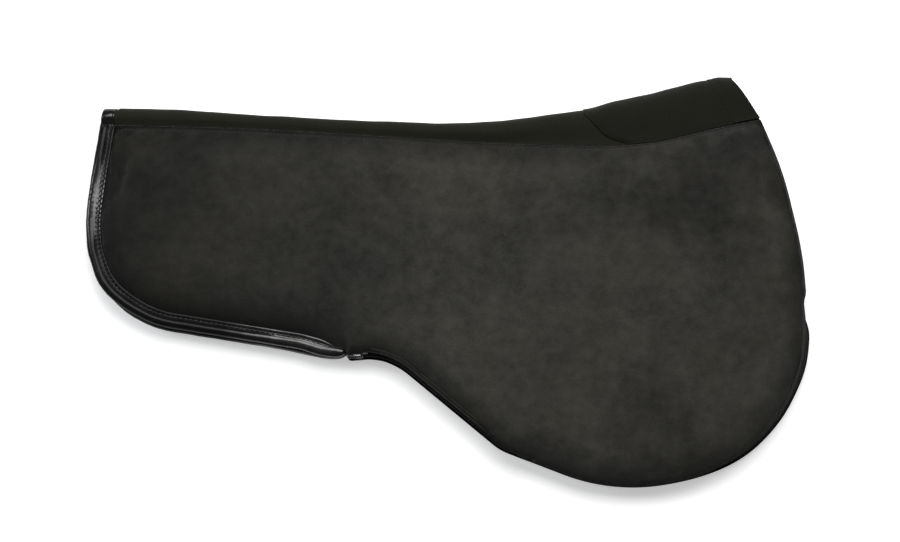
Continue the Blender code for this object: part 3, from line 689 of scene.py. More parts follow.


# Patches of painted shade and one of painted light, the last the shadow in the pinch below the hem: centre,
# reach and the tone there.
PAINTED_LIGHT_PATCHES = (
    ((0.172, 0.066, 0.030), 0.066, 0.70),
    ((0.235, 0.080, 0.030), 0.080, 0.60),
    ((0.080, 0.085, 0.030), 0.055, 0.86),
    ((0.262, -0.010, 0.030), 0.075, 0.76),
    ((0.178, -0.118, 0.030), 0.075, 0.72),
    ((0.022, -0.048, 0.030), 0.090, 1.15),
    ((0.159, 0.103, 0.032), 0.008, 0.55),
)


def suede_finish(colours):
    """Napped suede: clouds of brushed nap, fine grain, pale specks, and gathers below the hem.

    Shade is painted into the colour: darker towards the rear, in a rim along the free and sewn edges, below
    the hem and in patches, and lighter in one patch.
    """
    n = Nodes("suede")
    at = n.coordinates("Object")
    clouds = n.swing(n.noise(at, 0.085, 3.0, 0.55), -1.0, 1.0, 0.18)
    smudges = n.swing(n.noise(at, 0.024, 2.0, 0.6), -1.0, 1.0, 0.18)
    brushed = n.swing(n.noise(at, 0.0085, 3.0, 0.65), -1.0, 1.0)
    nap = n.swing(n.noise(at, 0.0016, 3.0, 0.7), -1.0, 1.0)
    fibre = n.swing(n.noise(at, 0.00035, 2.0, 0.6), -1.0, 1.0)
    specks = n.spread(n.noise(at, 0.0030, 1.0, 0.5), 0.76, 0.82, 0.0, 0.35)
    tone = 0.95
    for layer, share in ((clouds, 0.15), (smudges, 0.16), (brushed, 0.19), (nap, 0.16), (fibre, 0.10)):
        tone = n.math("MULTIPLY_ADD", layer, share, tone)
    tone = n.math("ADD", tone, specks)
    x = n.make("ShaderNodeSeparateXYZ", Vector=at)
    # Painted shade: the colour darkens towards the rear, where the light falls off.
    tone = n.times(tone, n.spread(n.math("MULTIPLY_ADD", clouds, 0.02, x), -0.28, -0.01, 0.37, 1.03))
    # Painted shade and light in patches, and the pinch's painted shadow.
    for centre, reach, level in PAINTED_LIGHT_PATCHES:
        gap = n.math("MULTIPLY_ADD", clouds, 0.20 * reach, n.distance(at, centre))
        gap = n.math("MULTIPLY_ADD", smudges, 0.13 * reach, gap)
        tone = n.times(tone, n.spread(gap, 0.18 * reach, reach, level, 1.0))
    # Painted shade: darker in a rim along the free edges where the cover rolls away from the light, wider and
    # deeper beside the leather, right under the hem's fold, and below the hem towards the rear.
    hem_gap, edge_gap, run = n.attribute("hem_gap"), n.attribute("edge_gap"), n.attribute("hem_run")
    leather_edge_shade = n.spread(n.attribute("bound"), 0.0, 1.0, 0.38, 0.22)
    hem_shade_level = n.spread(run, 0.06, 0.19, 0.52, 1.0)
    tone = n.times(
        tone,
        n.spread(edge_gap, 0.0, 0.020, leather_edge_shade, 1.0),
        n.spread(edge_gap, 0.0, 0.0045, 0.46, 1.0),
        n.spread(hem_gap, 0.0, 0.0012, 0.45, 1.0),
        n.spread(hem_gap, 0.003, 0.022, hem_shade_level, 1.0),
    )
    warmth = n.shade((0.0002, 0.0, -0.0010), clouds)
    colour = n.vector("ADD", n.shade(colours.suede, tone), warmth).outputs[0]
    wander = n.math("MULTIPLY_ADD", n.noise(at, 0.008), 0.0030, run)
    gather = n.math("SINE", n.times(wander, 2 * math.pi / 0.0034))
    gather = n.times(gather, n.spread(hem_gap, 0.003, 0.014, 1.0, 0.0), n.noise(at, 0.012))
    normal = n.relief(
        (gather, 0.00035, 1.0), (brushed, 0.0002, 0.7), (nap, 0.00016, 0.8), (fibre, 0.00006, 0.8)
    )
    return n.finish(
        Base_Color=colour, Roughness=0.94, Specular_IOR_Level=0.16, Sheen_Weight=0.14, Sheen_Roughness=0.45,
        Sheen_Tint=(0.80, 0.80, 0.80, 1.0), Normal=normal,
    )


def leather_finish(colours):
    """Leather: pebbled grain, creases across the roll, and a lacquer that is whole on two stretches only."""
    n = Nodes("leather")
    at, uv = n.coordinates("Object"), n.coordinates("UV")
    crease = n.noise(n.mapped(uv, (1.0, 0.22, 1.0)), 0.0035, 3.0, 0.6)
    soft = n.noise(at, 0.009, 2.0, 0.5)
    grain = n.make(
        "ShaderNodeTexVoronoi", {"feature": "SMOOTH_F1"}, Vector=at, Scale=1 / 0.0007, Smoothness=0.6,
        Randomness=1.0,
    )
    fine = n.noise(at, 0.0003, 2.0, 0.6)
    polish = n.spread(n.math("ADD", soft, n.times(fine, 0.4)), 0.45, 0.95, 0.30, 0.42)
    run = n.make("ShaderNodeSeparateXYZ", Vector=uv)
    rear = n.times(n.spread(run, 0.030, 0.058, 0.0, 1.0), n.spread(run, 0.078, 0.105, 1.0, 0.0))
    lacquer = n.math("MAXIMUM", rear, n.spread(run, 0.255, 0.290, 0.0, 1.0))
    lacquer = n.math("MULTIPLY_ADD", lacquer, 0.90, 0.10)
    lacquer = n.times(lacquer, n.spread(soft, 0.35, 0.60, 0.55, 1.0))
    normal = n.relief(
        (soft, 0.0004, 0.35), (crease, 0.00022, 0.4), (grain, 0.00003, 0.5), (fine, 0.00002, 0.5)
    )
    return n.finish(
        Base_Color=n.shade(colours.leather, n.swing(crease, 0.75, 1.25)), Roughness=polish,
        Specular_IOR_Level=0.10, Coat_Weight=lacquer, Coat_Roughness=0.12, Normal=normal,
    )


def mesh_finish(name, colour, pitch=0.0027):
    """Spacer mesh: staggered rows of small round openings in a ribbed knit, on the band's own UV."""
    n = Nodes(name)
    at, uv = n.coordinates("Object"), n.coordinates("UV")
    rows = n.mapped(uv, (1.0, 1.0, 1.0), (0, 0, math.pi / 4))
    cell = n.make("ShaderNodeTexVoronoi", Vector=rows, Scale=math.sqrt(2) / pitch, Randomness=0.06)
    hole = n.spread(cell, 0.16, 0.40, 0.0, 1.0)
    yarn = n.noise(n.mapped(uv, (1.0, 0.35, 1.0)), 0.0005, 2.0, 0.6)
    patch = n.swing(n.noise(at, 0.030, 3.0, 0.6), 0.86, 1.14)
    # Painted shade: the openings are darker, as shade falls inside them.
    tone = n.times(n.math("MULTIPLY_ADD", hole, 0.45, 0.62), patch, n.swing(yarn, 0.85, 1.15))
    return n.finish(
        Base_Color=n.shade(colour, tone), Roughness=0.86, Specular_IOR_Level=0.22, Sheen_Weight=0.08,
        Sheen_Roughness=0.5, Normal=n.relief((hole, 0.0004, 0.8), (yarn, 0.0001, 0.8)),
    )


def lining_finish(colours):
    """Soft knit: columns of small loops, with a light felted bloom."""
    n = Nodes("lining")
    at = n.coordinates("Object")
    columns = n.math("SINE", n.times(n.make("ShaderNodeSeparateXYZ", Vector=at), 2 * math.pi / 0.0016))
    loops = n.noise(n.mapped(at, (1.0, 0.7, 1.0)), 0.0009, 2.0, 0.6)
    felt = n.swing(n.noise(at, 0.020, 3.0, 0.6), 0.85, 1.15)
    height = n.math("MULTIPLY_ADD", columns, 0.4, loops)
    tone = n.times(felt, n.spread(height, 0.0, 1.0, 0.75, 1.2))
    return n.finish(
        Base_Color=n.shade(colours.lining, tone), Roughness=0.92, Specular_IOR_Level=0.2, Sheen_Weight=0.2,
        Sheen_Roughness=0.5, Normal=n.relief((height, 0.00025, 0.8)),
    )


def foam_finish(colours):
    """Open-cell foam: small pores."""
    n = Nodes("foam")
    at = n.coordinates("Object")
    pores = n.make("ShaderNodeTexVoronoi", Vector=at, Scale=1 / 0.0009, Randomness=1.0)
    tone = n.times(n.swing(n.noise(at, 0.03), 0.9, 1.1), n.spread(pores, 0.1, 0.6, 0.72, 1.05))
    return n.finish(
        Base_Color=n.shade(colours.foam, tone), Roughness=0.95, Specular_IOR_Level=0.2,
        Normal=n.relief((pores, 0.0003, 0.8)),
    )


def tape_finish(colours):
    """Zip tape: a tight herringbone-like weave."""
    n = Nodes("tape")
    uv = n.coordinates("UV")
    warp = n.make(
        "ShaderNodeTexWave", {"bands_direction": "DIAGONAL"}, Vector=uv, Scale=1 / 0.0030, Distortion=0.4
    )
    yarn = n.noise(n.mapped(uv, (1.0, 3.0, 1.0)), 0.0004, 1.0)
    tone = n.times(n.spread(warp, 0.0, 1.0, 0.8, 1.2), n.swing(yarn, 0.85, 1.15))
    return n.finish(
        Base_Color=n.shade(colours.tape, tone), Roughness=0.82, Specular_IOR_Level=0.25,
        Normal=n.relief((warp, 0.0001, 0.8)),
    )


def teeth_finish(colours):
    """Moulded zip teeth: smooth, with fine scuffs."""
    n = Nodes("teeth")
    scuff = n.noise(n.coordinates("Object"), 0.0006, 3.0, 0.6)
    return n.finish(
        Base_Color=n.shade(colours.teeth, n.swing(scuff, 0.8, 1.3)), Roughness=n.swing(scuff, 0.30, 0.46),
        Specular_IOR_Level=0.5, Normal=n.relief((scuff, 0.00002, 0.6)),
    )


def thread_finish(name, colour):
    """Twisted sewing thread."""
    n = Nodes(name)
    twist = n.noise(n.coordinates("Object"), 0.0004, 2.0, 0.6)
    return n.finish(
        Base_Color=n.shade(colour, n.swing(twist, 0.7, 1.4)), Roughness=0.40, Specular_IOR_Level=0.4,
        Normal=n.relief((twist, 0.00005, 0.7)),
    )


def metal_finish(colours):
    """Dark plated zip metal: polished, worn a little dull in patches."""
    n = Nodes("metal")
    wear = n.noise(n.coordinates("Object"), 0.0012, 3.0, 0.6)
    return n.finish(
        Base_Color=n.shade(colours.metal, n.swing(wear, 0.85, 1.08)), Metallic=1.0,
        Roughness=n.swing(wear, 0.16, 0.34), Normal=n.relief((wear, 0.00003, 0.6)),
    )


# The thread on the leather, lightened as a painted highlight, and the mesh of the withers panel, as shares of
# their colours
THREAD_HIGHLIGHT_LIFT = 5.0
PANEL_SHADE = 0.7
FINISHES = {}


def finishes():
    """The materials, made once."""
    if not FINISHES:
        colours = bpy.context.scene.half_pad_colours
        FINISHES.update(
            suede=suede_finish(colours), leather=leather_finish(colours), lining=lining_finish(colours),
            foam=foam_finish(colours), tape=tape_finish(colours), teeth=teeth_finish(colours),
            mesh=mesh_finish("spine_mesh", colours.mesh),
            panel=mesh_finish("withers_mesh", [v * PANEL_SHADE for v in colours.mesh]),
            thread=thread_finish("thread", colours.thread), metal=metal_finish(colours),
            waxed=thread_finish("waxed_thread", [v * THREAD_HIGHLIGHT_LIFT for v in colours.thread]),
        )
    return FINISHES


# Cover


EDGE_SOFTNESS = 2.3
EDGE_ROUNDNESS = 0.34
SEAM_EASE = 0.0004
FLANGE_TAPER = 0.0052
FLANGE_TAPER_RUN = 0.026
BINDING_SPREAD = 0.75
TOP_EASE = 0.0006
HEM_LOW = FLANGE_TOP + 0.0004
HEM_SEAM = 0.0036
HEM_SEAM_REACH = 0.0006
HEM_SEAM_DEPTH = 0.00025
HEM_DENT_PLACE = (0.1545, 0.0100)
HEM_DENT_REACH = (0.0060, 0.0042)
HEM_DENT_DEPTH = 0.0034
ZIP_EASE = 0.016
ZIP_LIP = 0.0008
COVER_ROWS, COVER_COLUMNS = 121, 401
CLOTH_ROWS, CLOTH_COLUMNS = 49, 137
CORNER_SHARE = 0.5
TOE_CORNER_TURN = 17.0
END_REACH = 0.03
CLOTH = {
    "vertex_group_mass": "held", "quality": 6, "mass": 0.4, "tension_stiffness": 18,
    "compression_stiffness": 18, "shear_stiffness": 6, "bending_stiffness": 0.6, "use_pressure": True,
}
HELD_AT_HEM, HELD_AT_EDGE = 0.001, 0.0012

# Waves of the cover's swell, of the gathers below its hem, of the lining's loft and of the mesh layers:
# length along X or along the piece, length across it, phase and amount
SWELL_WAVES = (
    (0.19, 0.31, 0.4, 0.30), (-0.27, 0.16, 1.9, 0.26), (0.11, -0.23, 3.1, 0.16), (0.075, 0.10, 5.0, 0.08)
)
GATHER_WAVES = ((0.0127, 0.35, 0.3, 0.5), (0.0171, -0.5, 2.2, 0.5), (0.041, 0.6, 1.0, 0.6))
LOFT_WAVES = ((0.041, 0.09, 0.2, 0.5), (-0.06, 0.035, 1.4, 0.5))
LAYER_WAVES = ((0.083, 0.05, 0.3, 0.5), (0.047, -0.031, 1.6, 0.35), (0.029, 0.04, 4.0, 0.25))
SWELL = 0.0011
SWELL_FADE = 0.02
GATHER_DEPTH = 2.2
GATHER_RISE = 0.004
GATHER_FALL = 0.009
COVER_OVER = 0.0012
BOUND_LEAD = 0.055
BOUND_RUN = 0.10


def crowded(count, amount):
    """Shares from 0 to 1 that crowd towards both ends like the cosine of even steps."""
    t = np.linspace(0.0, 1.0, count)
    return (1 - amount) * t + amount * (1 - np.cos(math.pi * t)) / 2


def half_plan(rows, columns, inset_at, hem_inset=0.0, crowding=0.9):
    """Plan points of one half on a grid of hem-to-edge rows by rear-to-front columns.

    A Coons patch: the hem on top, the rear edge down to the middle of its corner, the front edge down
    to the toe, and the lower edge between these. Each side is blended across and the corners taken off.
    """
    rear_corner = PATH.marks["rear_corner"] + (PATH.marks["belly"] - PATH.marks["rear_corner"]) * CORNER_SHARE
    toe_corner = PATH.marks["toe"] + TOE_RADIUS * math.radians(TOE_CORNER_TURN)
    u, v = crowded(columns, crowding), crowded(rows, crowding)
    tries = np.linspace(0.0, END_REACH, 1200)

    def rim(places):
        return PATH.inset(places, inset_at(places))

    def crossing(places):
        x, y = rim(places).T
        return places[np.argmax(y < hem_height(x) - hem_inset)]

    first = crossing(tries)
    last = crossing(PATH.length - tries)
    left = rim(first + (rear_corner - first) * v)
    right = rim(last + (toe_corner - last) * v)
    top_x = left[0, 0] + (right[0, 0] - left[0, 0]) * u
    top = np.stack([top_x, hem_height(top_x) - hem_inset], -1)
    places = np.linspace(rear_corner, toe_corner, DENSE_SAMPLES)
    lower_x = left[-1, 0] + (right[-1, 0] - left[-1, 0]) * u
    lower = rim(np.interp(lower_x, np.maximum.accumulate(rim(places)[:, 0]), places))
    top[0], top[-1], lower[0], lower[-1] = left[0], right[0], left[-1], right[-1]
    U, V = u[None, :, None], v[:, None, None]
    plan = (1 - V) * top[None] + V * lower[None] + (1 - U) * left[:, None] + U * right[:, None]
    plan -= (1 - V) * ((1 - U) * top[0] + U * top[-1]) + V * ((1 - U) * lower[0] + U * lower[-1])
    return plan


def fall(share, roundness):
    """What is left of a drop at a share of its roll-off: a quarter ellipse mixed with a soft power."""
    left = 1.0 - np.clip(share, 0.0, 1.0)
    return roundness * (1.0 - climb(share)) + (1.0 - roundness) * left ** EDGE_SOFTNESS


def hem_gap_at(plan):
    """How far plan points lie below the cover's folded hem."""
    return hem_height(plan[..., 0]) - HEM_DROP - plan[..., 1]


def cover_height(plan, distance, nearest):
    """Height of the stuffed cover over a plan: its top less the drops to the free edge and to the hem.

    Where both drops act they add as the cube root of their cubes, so the corners stay round.
    """
    top, past = HALF_THICKNESS - TOP_EASE, past_binding(distance, nearest)
    bound = (top - FLANGE_TOP) * fall((distance - flange_width(nearest) - SEAM_EASE) / BINDING_ROLL_OFF, 0.0)
    roll_off = np.interp(nearest, (ZIP_STOP, ZIP_STOP + ZIP_FADE), (ZIP_ROLL_OFF, FLAP_ROLL_OFF))
    free = (top - cover_low(nearest)) * fall(distance / roll_off, EDGE_ROUNDNESS)
    edge_drop = bound + (free - bound) * past
    low = FLANGE_TOP + (cover_low(nearest) - FLANGE_TOP) * past
    hem_drop = (top - HEM_LOW) * fall((hem_gap_at(plan) - HEM_FLAT) / HEM_ROLL, 0.0)
    drop = np.cbrt(edge_drop ** 3 + hem_drop ** 3)
    floor = np.where(edge_drop > hem_drop, low, HEM_LOW)
    return np.maximum(top - drop, floor)


def hem_dent(x, hem_gap):
    """Depth of the pinch below the hem: a bell curve both ways."""
    along = bell(x, HEM_DENT_PLACE[0], HEM_DENT_REACH[0])
    return HEM_DENT_DEPTH * along * bell(hem_gap, HEM_DENT_PLACE[1], HEM_DENT_REACH[1])


def cover_inset(place):
    return along_edge(place, EDGE_TUCK, 0.0, 0.0)


def cover_low(place):
    """Where the unbound cover's top surface meets its side wall. The wall is low again past the zip."""
    return np.interp(place, (ZIP_STOP, ZIP_STOP + ZIP_EASE), (ZIP_WALL_RIM + ZIP_LIP, FLAP_WALL_TOP))


def flange_width(place):
    """The leather's width on the suede. It narrows to the end of the binding."""
    return BINDING_WIDTH - FLANGE_TAPER * smooth_step((place - BINDING_STOP) / FLANGE_TAPER_RUN + 1.0)


def past_binding(distance, place):
    """0 beside the leather to 1 past its end. The change spreads out inside the flange's own width."""
    spread = BINDING_SPREAD * np.maximum(distance - flange_width(place), 0.0)
    return smooth_step((place - BINDING_STOP + spread) / (ZIP_FADE + 2 * spread))


def cover_foot(distance, place):
    """How far inside the edge the cover starts to rise: at the leather, or at once."""
    return (flange_width(place) + SEAM_EASE) * (1.0 - past_binding(distance, place))


def cover_surface(rows, columns):
    """The cover's outer surface before it is filled: points, distance to the edge, gap to the hem, place."""
    plan = half_plan(rows, columns, cover_inset, HEM_DROP)
    distance, nearest = grid_distance(plan)
    return raised(plan, cover_height(plan, distance, nearest)), distance, hem_gap_at(plan), nearest


def spline_weights(count, coarse):
    """Cubic B-spline weights of the coarse samples at even steps, so that their creases don't show."""
    away = np.abs(np.linspace(0, coarse - 1, count)[:, None] - np.arange(coarse)[None])
    near = 2 / 3 - away ** 2 + away ** 3 / 2
    far = np.clip(2 - away, 0, None) ** 3 / 6
    weights = np.where(away < 1, near, far)
    return weights / weights.sum(1, keepdims=True)


def filled_shift(shape):
    """How far each point of a coarse cover moves when its cloth is pressed out by the filling.

    The rim and the hem band are held. The movement is capped at the puff setting.
    """
    points, distance, hem_gap, nearest = cover_surface(CLOTH_ROWS, CLOTH_COLUMNS)
    faces = grid_faces(CLOTH_ROWS, CLOTH_COLUMNS)[:, ::-1]
    piece = new_piece("cloth_trial", points, faces, finishes()["suede"])
    held = (hem_gap < HEM_BAND + HELD_AT_HEM) | (distance < cover_foot(distance, nearest) + HELD_AT_EDGE)
    held[[0, -1], :] = True
    held[:, [0, -1]] = True
    group = piece.vertex_groups.new(name="held")
    group.add([int(i) for i in np.flatnonzero(held.ravel())], 1.0, "REPLACE")
    cloth = piece.modifiers.new("cloth", "CLOTH")
    settings = dict(CLOTH, shrink_min=-shape.slack, uniform_pressure_force=shape.pressure)
    for key, value in settings.items():
        setattr(cloth.settings, key, value)
    cloth.settings.effector_weights.gravity = 0.0
    cloth.collision_settings.use_collision = False
    cloth.point_cache.frame_start = 1
    cloth.point_cache.frame_end = shape.frames
    scene = bpy.context.scene
    for number in range(1, shape.frames + 1):
        scene.frame_set(number)
    graph = bpy.context.evaluated_depsgraph_get()
    settled = np.zeros(points.size, np.float32)
    piece.evaluated_get(graph).data.vertices.foreach_get("co", settled)
    shift = settled.reshape(points.shape) - points
    bpy.data.objects.remove(piece, do_unlink=True)
    scene.frame_set(1)
    length = np.linalg.norm(shift, axis=-1, keepdims=True)
    shift = shift * np.minimum(1.0, shape.puff / np.maximum(length, 1e-9))
    shift[..., 2] = np.maximum(shift[..., 2], -shape.puff / 3)
    return shift


WALL_SHARES = (0.25, 0.5, 0.75, 1.0)
WALL_BULGE_TURN = 0.92
HEM_BULGE = 0.0005
# Bulge of the side wall along the bound stretch, along the zip and past it
WALL_BULGE = (0.0002, 0.0003, 0.0007)
FILLED = {}


def cover_shape(shape):
    """The filled cover's fine grid with its gathers, made once.

    With it come each point's gap to the hem and to the seam of the leather or the edge, and bound, which
    is 1 beside the leather and 0 away from it.
    """
    if FILLED:
        return FILLED
    points, distance, hem_gap, nearest = cover_surface(COVER_ROWS, COVER_COLUMNS)
    coarse = filled_shift(shape)
    down, across = spline_weights(COVER_ROWS, CLOTH_ROWS), spline_weights(COVER_COLUMNS, CLOTH_COLUMNS)
    points = points + np.einsum("ri,ijk,cj->rck", down, coarse, across)
    x, y = points[..., 0], points[..., 1]
    edge_gap = distance - cover_foot(distance, nearest)
    below_band = hem_gap - HEM_BAND
    inside = smooth_step(edge_gap / SWELL_FADE) * smooth_step(below_band / SWELL_FADE)
    points[..., 2] += SWELL * ripple(x, y, SWELL_WAVES) * inside
    gathered = np.clip(below_band / GATHER_RISE, 0, 1) * np.exp(-np.clip(below_band, 0, None) / GATHER_FALL)
    points[..., 2] += GATHER_DEPTH * shape.pucker * ripple(x, y, GATHER_WAVES) * gathered
    points[..., 2] -= hem_dent(x, hem_gap) + HEM_SEAM_DEPTH * bell(hem_gap, HEM_SEAM, HEM_SEAM_REACH)
    points[..., 2] = np.minimum(points[..., 2], HALF_THICKNESS + COVER_OVER)
    bound = 1.0 - smooth_step((nearest - BINDING_STOP + BOUND_LEAD) / BOUND_RUN)
    seam_gap = np.maximum(distance - (flange_width(nearest) + SEAM_EASE) * bound, 0.0)
    FILLED.update(points=points, hem_gap=hem_gap, edge_gap=seam_gap, bound=bound)
    return FILLED


def make_cover(prefix, side, shape):
    """The suede cover: the filled surface, its side wall down to the rim, and the cloth's thickness.

    The wall's rings bulge out by most of a half sine and end at the rim.
    """
    filled = cover_shape(shape)
    points = filled["points"].copy()
    if side == LEFT:
        points[..., 2] = np.minimum(points[..., 2], HALF_THICKNESS)
    loop = rim_loop(COVER_ROWS, COVER_COLUMNS)
    flat = points.reshape(-1, 3)
    rim = flat[loop]
    hem_side = np.arange(len(loop)) < COVER_COLUMNS
    _, nearest = edge_distance([rim[:, :2]])
    low = np.where(hem_side, RIM_LOW, along_edge(nearest, RIM_LOW, ZIP_WALL_RIM, RIM_LOW))
    outward = np.where(hem_side[:, None], [0.0, 1.0], -PATH.inward(nearest))
    bulge = np.where(hem_side, HEM_BULGE, along_edge(nearest, *WALL_BULGE))
    rings = []
    for share in WALL_SHARES:
        push = bulge * math.sin(math.pi * share * WALL_BULGE_TURN)
        height = rim[:, 2] + (low - rim[:, 2]) * share
        rings.append(raised(rim[:, :2] + outward * push[:, None], height))
    count, walls = len(loop), len(WALL_SHARES)
    numbers = np.concatenate([loop[None], len(flat) + np.arange(walls * count).reshape(walls, count)])
    a, d = numbers[:-1], numbers[1:]
    wall = np.stack([a, np.roll(a, -1, axis=1), np.roll(d, -1, axis=1), d], -1).reshape(-1, 4)
    faces = [*grid_faces(COVER_ROWS, COVER_COLUMNS)[:, ::-1], *wall[:, ::-1]]
    if side == LEFT:
        faces = [f[::-1] for f in faces]
    bound = filled["bound"].ravel()
    # The suede reads edge_gap, bound and hem_gap for its painted shade, and hem_run for that shade and for
    # its gathers.
    attributes = {
        "hem_gap": np.concatenate([filled["hem_gap"].ravel(), np.zeros(walls * count)]),
        "edge_gap": np.concatenate([filled["edge_gap"].ravel(), np.zeros(walls * count)]),
        "bound": np.concatenate([bound, np.tile(bound[loop], walls)]),
        "hem_run": np.concatenate([flat[:, 0], np.tile(rim[:, 0], walls)]),
    }
    every = laid(np.concatenate([flat, *rings]), side)
    piece = new_piece(f"{prefix}_suede_cover", every, faces, finishes()["suede"], attributes=attributes)
    cloth = piece.modifiers.new("cloth", "SOLIDIFY")
    cloth.thickness = SUEDE
    cloth.offset = -1.0
    cloth.use_even_offset = False
    apply_modifiers(piece)
    settle(piece, "suede", f"{prefix}_half", f"{prefix}_outer_cover")
    return piece


# Foam insert and lining


FOAM_EASE = 0.0036
FOAM_LEAST = 0.0020
# Insets along the bound stretch, along the zip and past it
FOAM_INSET = (EDGE_TUCK + 0.013, ZIP_SETBACK + 0.0045, 0.0060)
FOAM_HEM_INSET = 0.0095
LINING_INSET = (EDGE_TUCK, CLEARANCE, CLEARANCE)
LINING_HEM_INSET = LEG_OVERLAP + 0.0009
LINING_ROUND = 0.0010
LINING_RISE = 0.0006
LINING_LOFT = 0.00025


def make_foam(prefix, side):
    """The insert: a flat floor over the lining, and a top that runs a little below the cover."""
    plan = half_plan(61, 181, lambda place: along_edge(place, *FOAM_INSET), FOAM_HEM_INSET)
    distance, nearest = grid_distance(plan)
    low = LINING_TOP + CLEARANCE
    high = cover_height(plan, distance, nearest) - FOAM_EASE - hem_dent(plan[..., 0], hem_gap_at(plan))
    points, faces = slab(raised(plan, np.maximum(high, low + FOAM_LEAST)), raised(plan, low))
    piece = closed_piece(f"{prefix}_foam", laid(points, side), faces, finishes()["foam"])
    settle(piece, "foam", f"{prefix}_half", f"{prefix}_foam_insert")
    return piece


def make_lining(prefix, side):
    """The lining: a knit panel with rounded edges, very slightly quilted by its own loft."""
    plan = half_plan(81, 241, lambda place: along_edge(place, *LINING_INSET), LINING_HEM_INSET)
    distance, _ = grid_distance(plan)
    edge = np.minimum(distance, hem_height(plan[..., 0]) - plan[..., 1] - LEG_OVERLAP)
    rise = LINING_RISE + LINING_LOFT * ripple(plan[..., 0], plan[..., 1], LOFT_WAVES)
    face = LINING_LOW + LINING_ROUND * (1 - climb(edge / 0.006)) - rise * smooth_step(edge / 0.02)
    points, faces = slab(raised(plan, LINING_TOP), raised(plan, face))
    piece = closed_piece(f"{prefix}_knit_lining", laid(points, side), faces, finishes()["lining"])
    settle(piece, "lining", f"{prefix}_half", f"{prefix}_lining")
    return piece


# Stitches


STITCH_SIDES = 6
# Rings of a stitch: place along its length and share of its thickness
STITCH_RINGS = ((-0.5, 0.25), (-0.36, 0.85), (0.0, 1.0), (0.36, 0.85), (0.5, 0.25))
SEAM_SAMPLES = 1600
# The hem's line of stitches: the cover's rows that it is looked up on, and how far it stops short of the ends
HEM_LINE_ROW, HEM_LINE_ROWS = 6, 24
HEM_LINE_START, HEM_LINE_STOP = 0.014, 0.004
HEM_LINE_SAMPLES = 900
# A stitch's length as a share of the pitch, and its lift or radius as a share of the thread
HEM_STITCH, HEM_STITCH_LIFT = 0.78, 0.12
BINDING_STITCH, BINDING_STITCH_RADIUS = 0.62, 0.6


def capsule(length, radius):
    """A stitch along X: points and faces, with both ends drawn to a tip."""
    share, thick = np.array(STITCH_RINGS).T
    angle = np.linspace(0, 2 * math.pi, STITCH_SIDES, endpoint=False)
    ring = np.stack([np.zeros(STITCH_SIDES), np.cos(angle), np.sin(angle)], -1)
    points = ring[None] * (thick * radius)[:, None, None]
    points[..., 0] = (share * length)[:, None]
    points = points.reshape(-1, 3)
    return points, outward_faces(points, tube_faces(len(STITCH_RINGS), STITCH_SIDES))


def make_stitches(name, at, along, up, length, radius, body, slot="suede", arch=0.0):
    """One mesh of stitches: each is a capsule about a point, along its direction and bowed upwards."""
    shape, faces = capsule(length, radius)
    along = along / np.linalg.norm(along, axis=1, keepdims=True)
    side = np.cross(up, along)
    side /= np.linalg.norm(side, axis=1, keepdims=True)
    lift = np.cross(along, side)
    bow = arch * (1 - (2 * shape[:, 0] / length) ** 2)
    points = (
        at[:, None] + shape[None, :, :1] * along[:, None] + shape[None, :, 1:2] * side[:, None]
        + (shape[None, :, 2:3] + bow[None, :, None]) * lift[:, None]
    )
    # The thread on the leather is lighter: a painted highlight.
    look = finishes()["waxed" if slot == "leather" else "thread"]
    piece = new_piece(name, points, repeated_faces(faces, len(shape), len(at)), look)
    return settle(piece, slot, body)


def seam_steps(points, pitch):
    """Middles and directions of even stitches along a dense line of points."""
    run = lengths_along(points)
    middles = np.arange(pitch / 2, run[-1], pitch)
    reach = 0.4 * pitch

    def at(places):
        return np.stack([np.interp(places, run, column) for column in points.T], -1)

    return at(middles), at(middles + reach) - at(middles - reach)


def cover_line(shape, gap):
    """A line on the cover's surface at a gap below the hem."""
    points, hem_gap = cover_shape(shape)["points"], cover_shape(shape)["hem_gap"]
    x = np.linspace(PATH.start[0] + HEM_LINE_START, PATH.end[0] - HEM_LINE_STOP, HEM_LINE_SAMPLES)
    columns = points[HEM_LINE_ROW, :, 0]
    near = np.round(np.interp(x, columns, np.arange(len(columns)))).astype(int)
    rows = np.arange(HEM_LINE_ROWS)
    height = np.array([np.interp(gap, hem_gap[rows, c], points[rows, c, 2]) for c in near])
    return np.stack([x, hem_height(x) - HEM_DROP - gap, height], -1)


def make_hem_stitches(prefix, side, shape, sewing):
    line = laid(cover_line(shape, HEM_SEAM), side)
    at, along = seam_steps(line, sewing.hem_pitch)
    up = np.tile([0.0, 0.0, side], (len(at), 1))
    at = at + up * sewing.thread * HEM_STITCH_LIFT
    return make_stitches(
        f"{prefix}_hem_stitches", at, along, up, sewing.hem_pitch * HEM_STITCH, sewing.thread / 2,
        f"{prefix}_half",
    )


# Leather


ROLL_PAST_TOP = math.radians(40)
ROLL_POINTS = 33
ROLL_FLAT_HEIGHT = 0.74
ROLL_FLAT_POWER = 0.62
BINDING_SECTIONS = 761
BINDING_SEAM = 0.0094
LEG_START = 0.0085
# The flange from the roll inwards: distance inside the edge, height, share of the dip at its stitches
FLANGE = (
    (0.0078, 0.00738, 0.3), (BINDING_SEAM - 0.0009, 0.00696, 0.6), (BINDING_SEAM - 0.0004, 0.00678, 0.8),
    (BINDING_SEAM, 0.00664, 1.0), (BINDING_SEAM + 0.0004, 0.00682, 1.0),
    (BINDING_SEAM + 0.0010, 0.00696, 1.0), (0.0115, 0.00702, 0.9), (0.0124, 0.00704, 0.7),
    (BINDING_WIDTH, 0.00684, 0.5),
)
FLANGE_UNDER = ((BINDING_WIDTH, 0.00635), (0.0105, 0.0063), (0.0088, 0.0065), (0.0079, 0.0069))
ROLL_WAVES = ((0.021, 1, 0.2, 0.5), (0.034, 1, 1.7, 0.6), (0.0093, 1, 0.9, 0.25))
ROLL_SWELL = 0.022
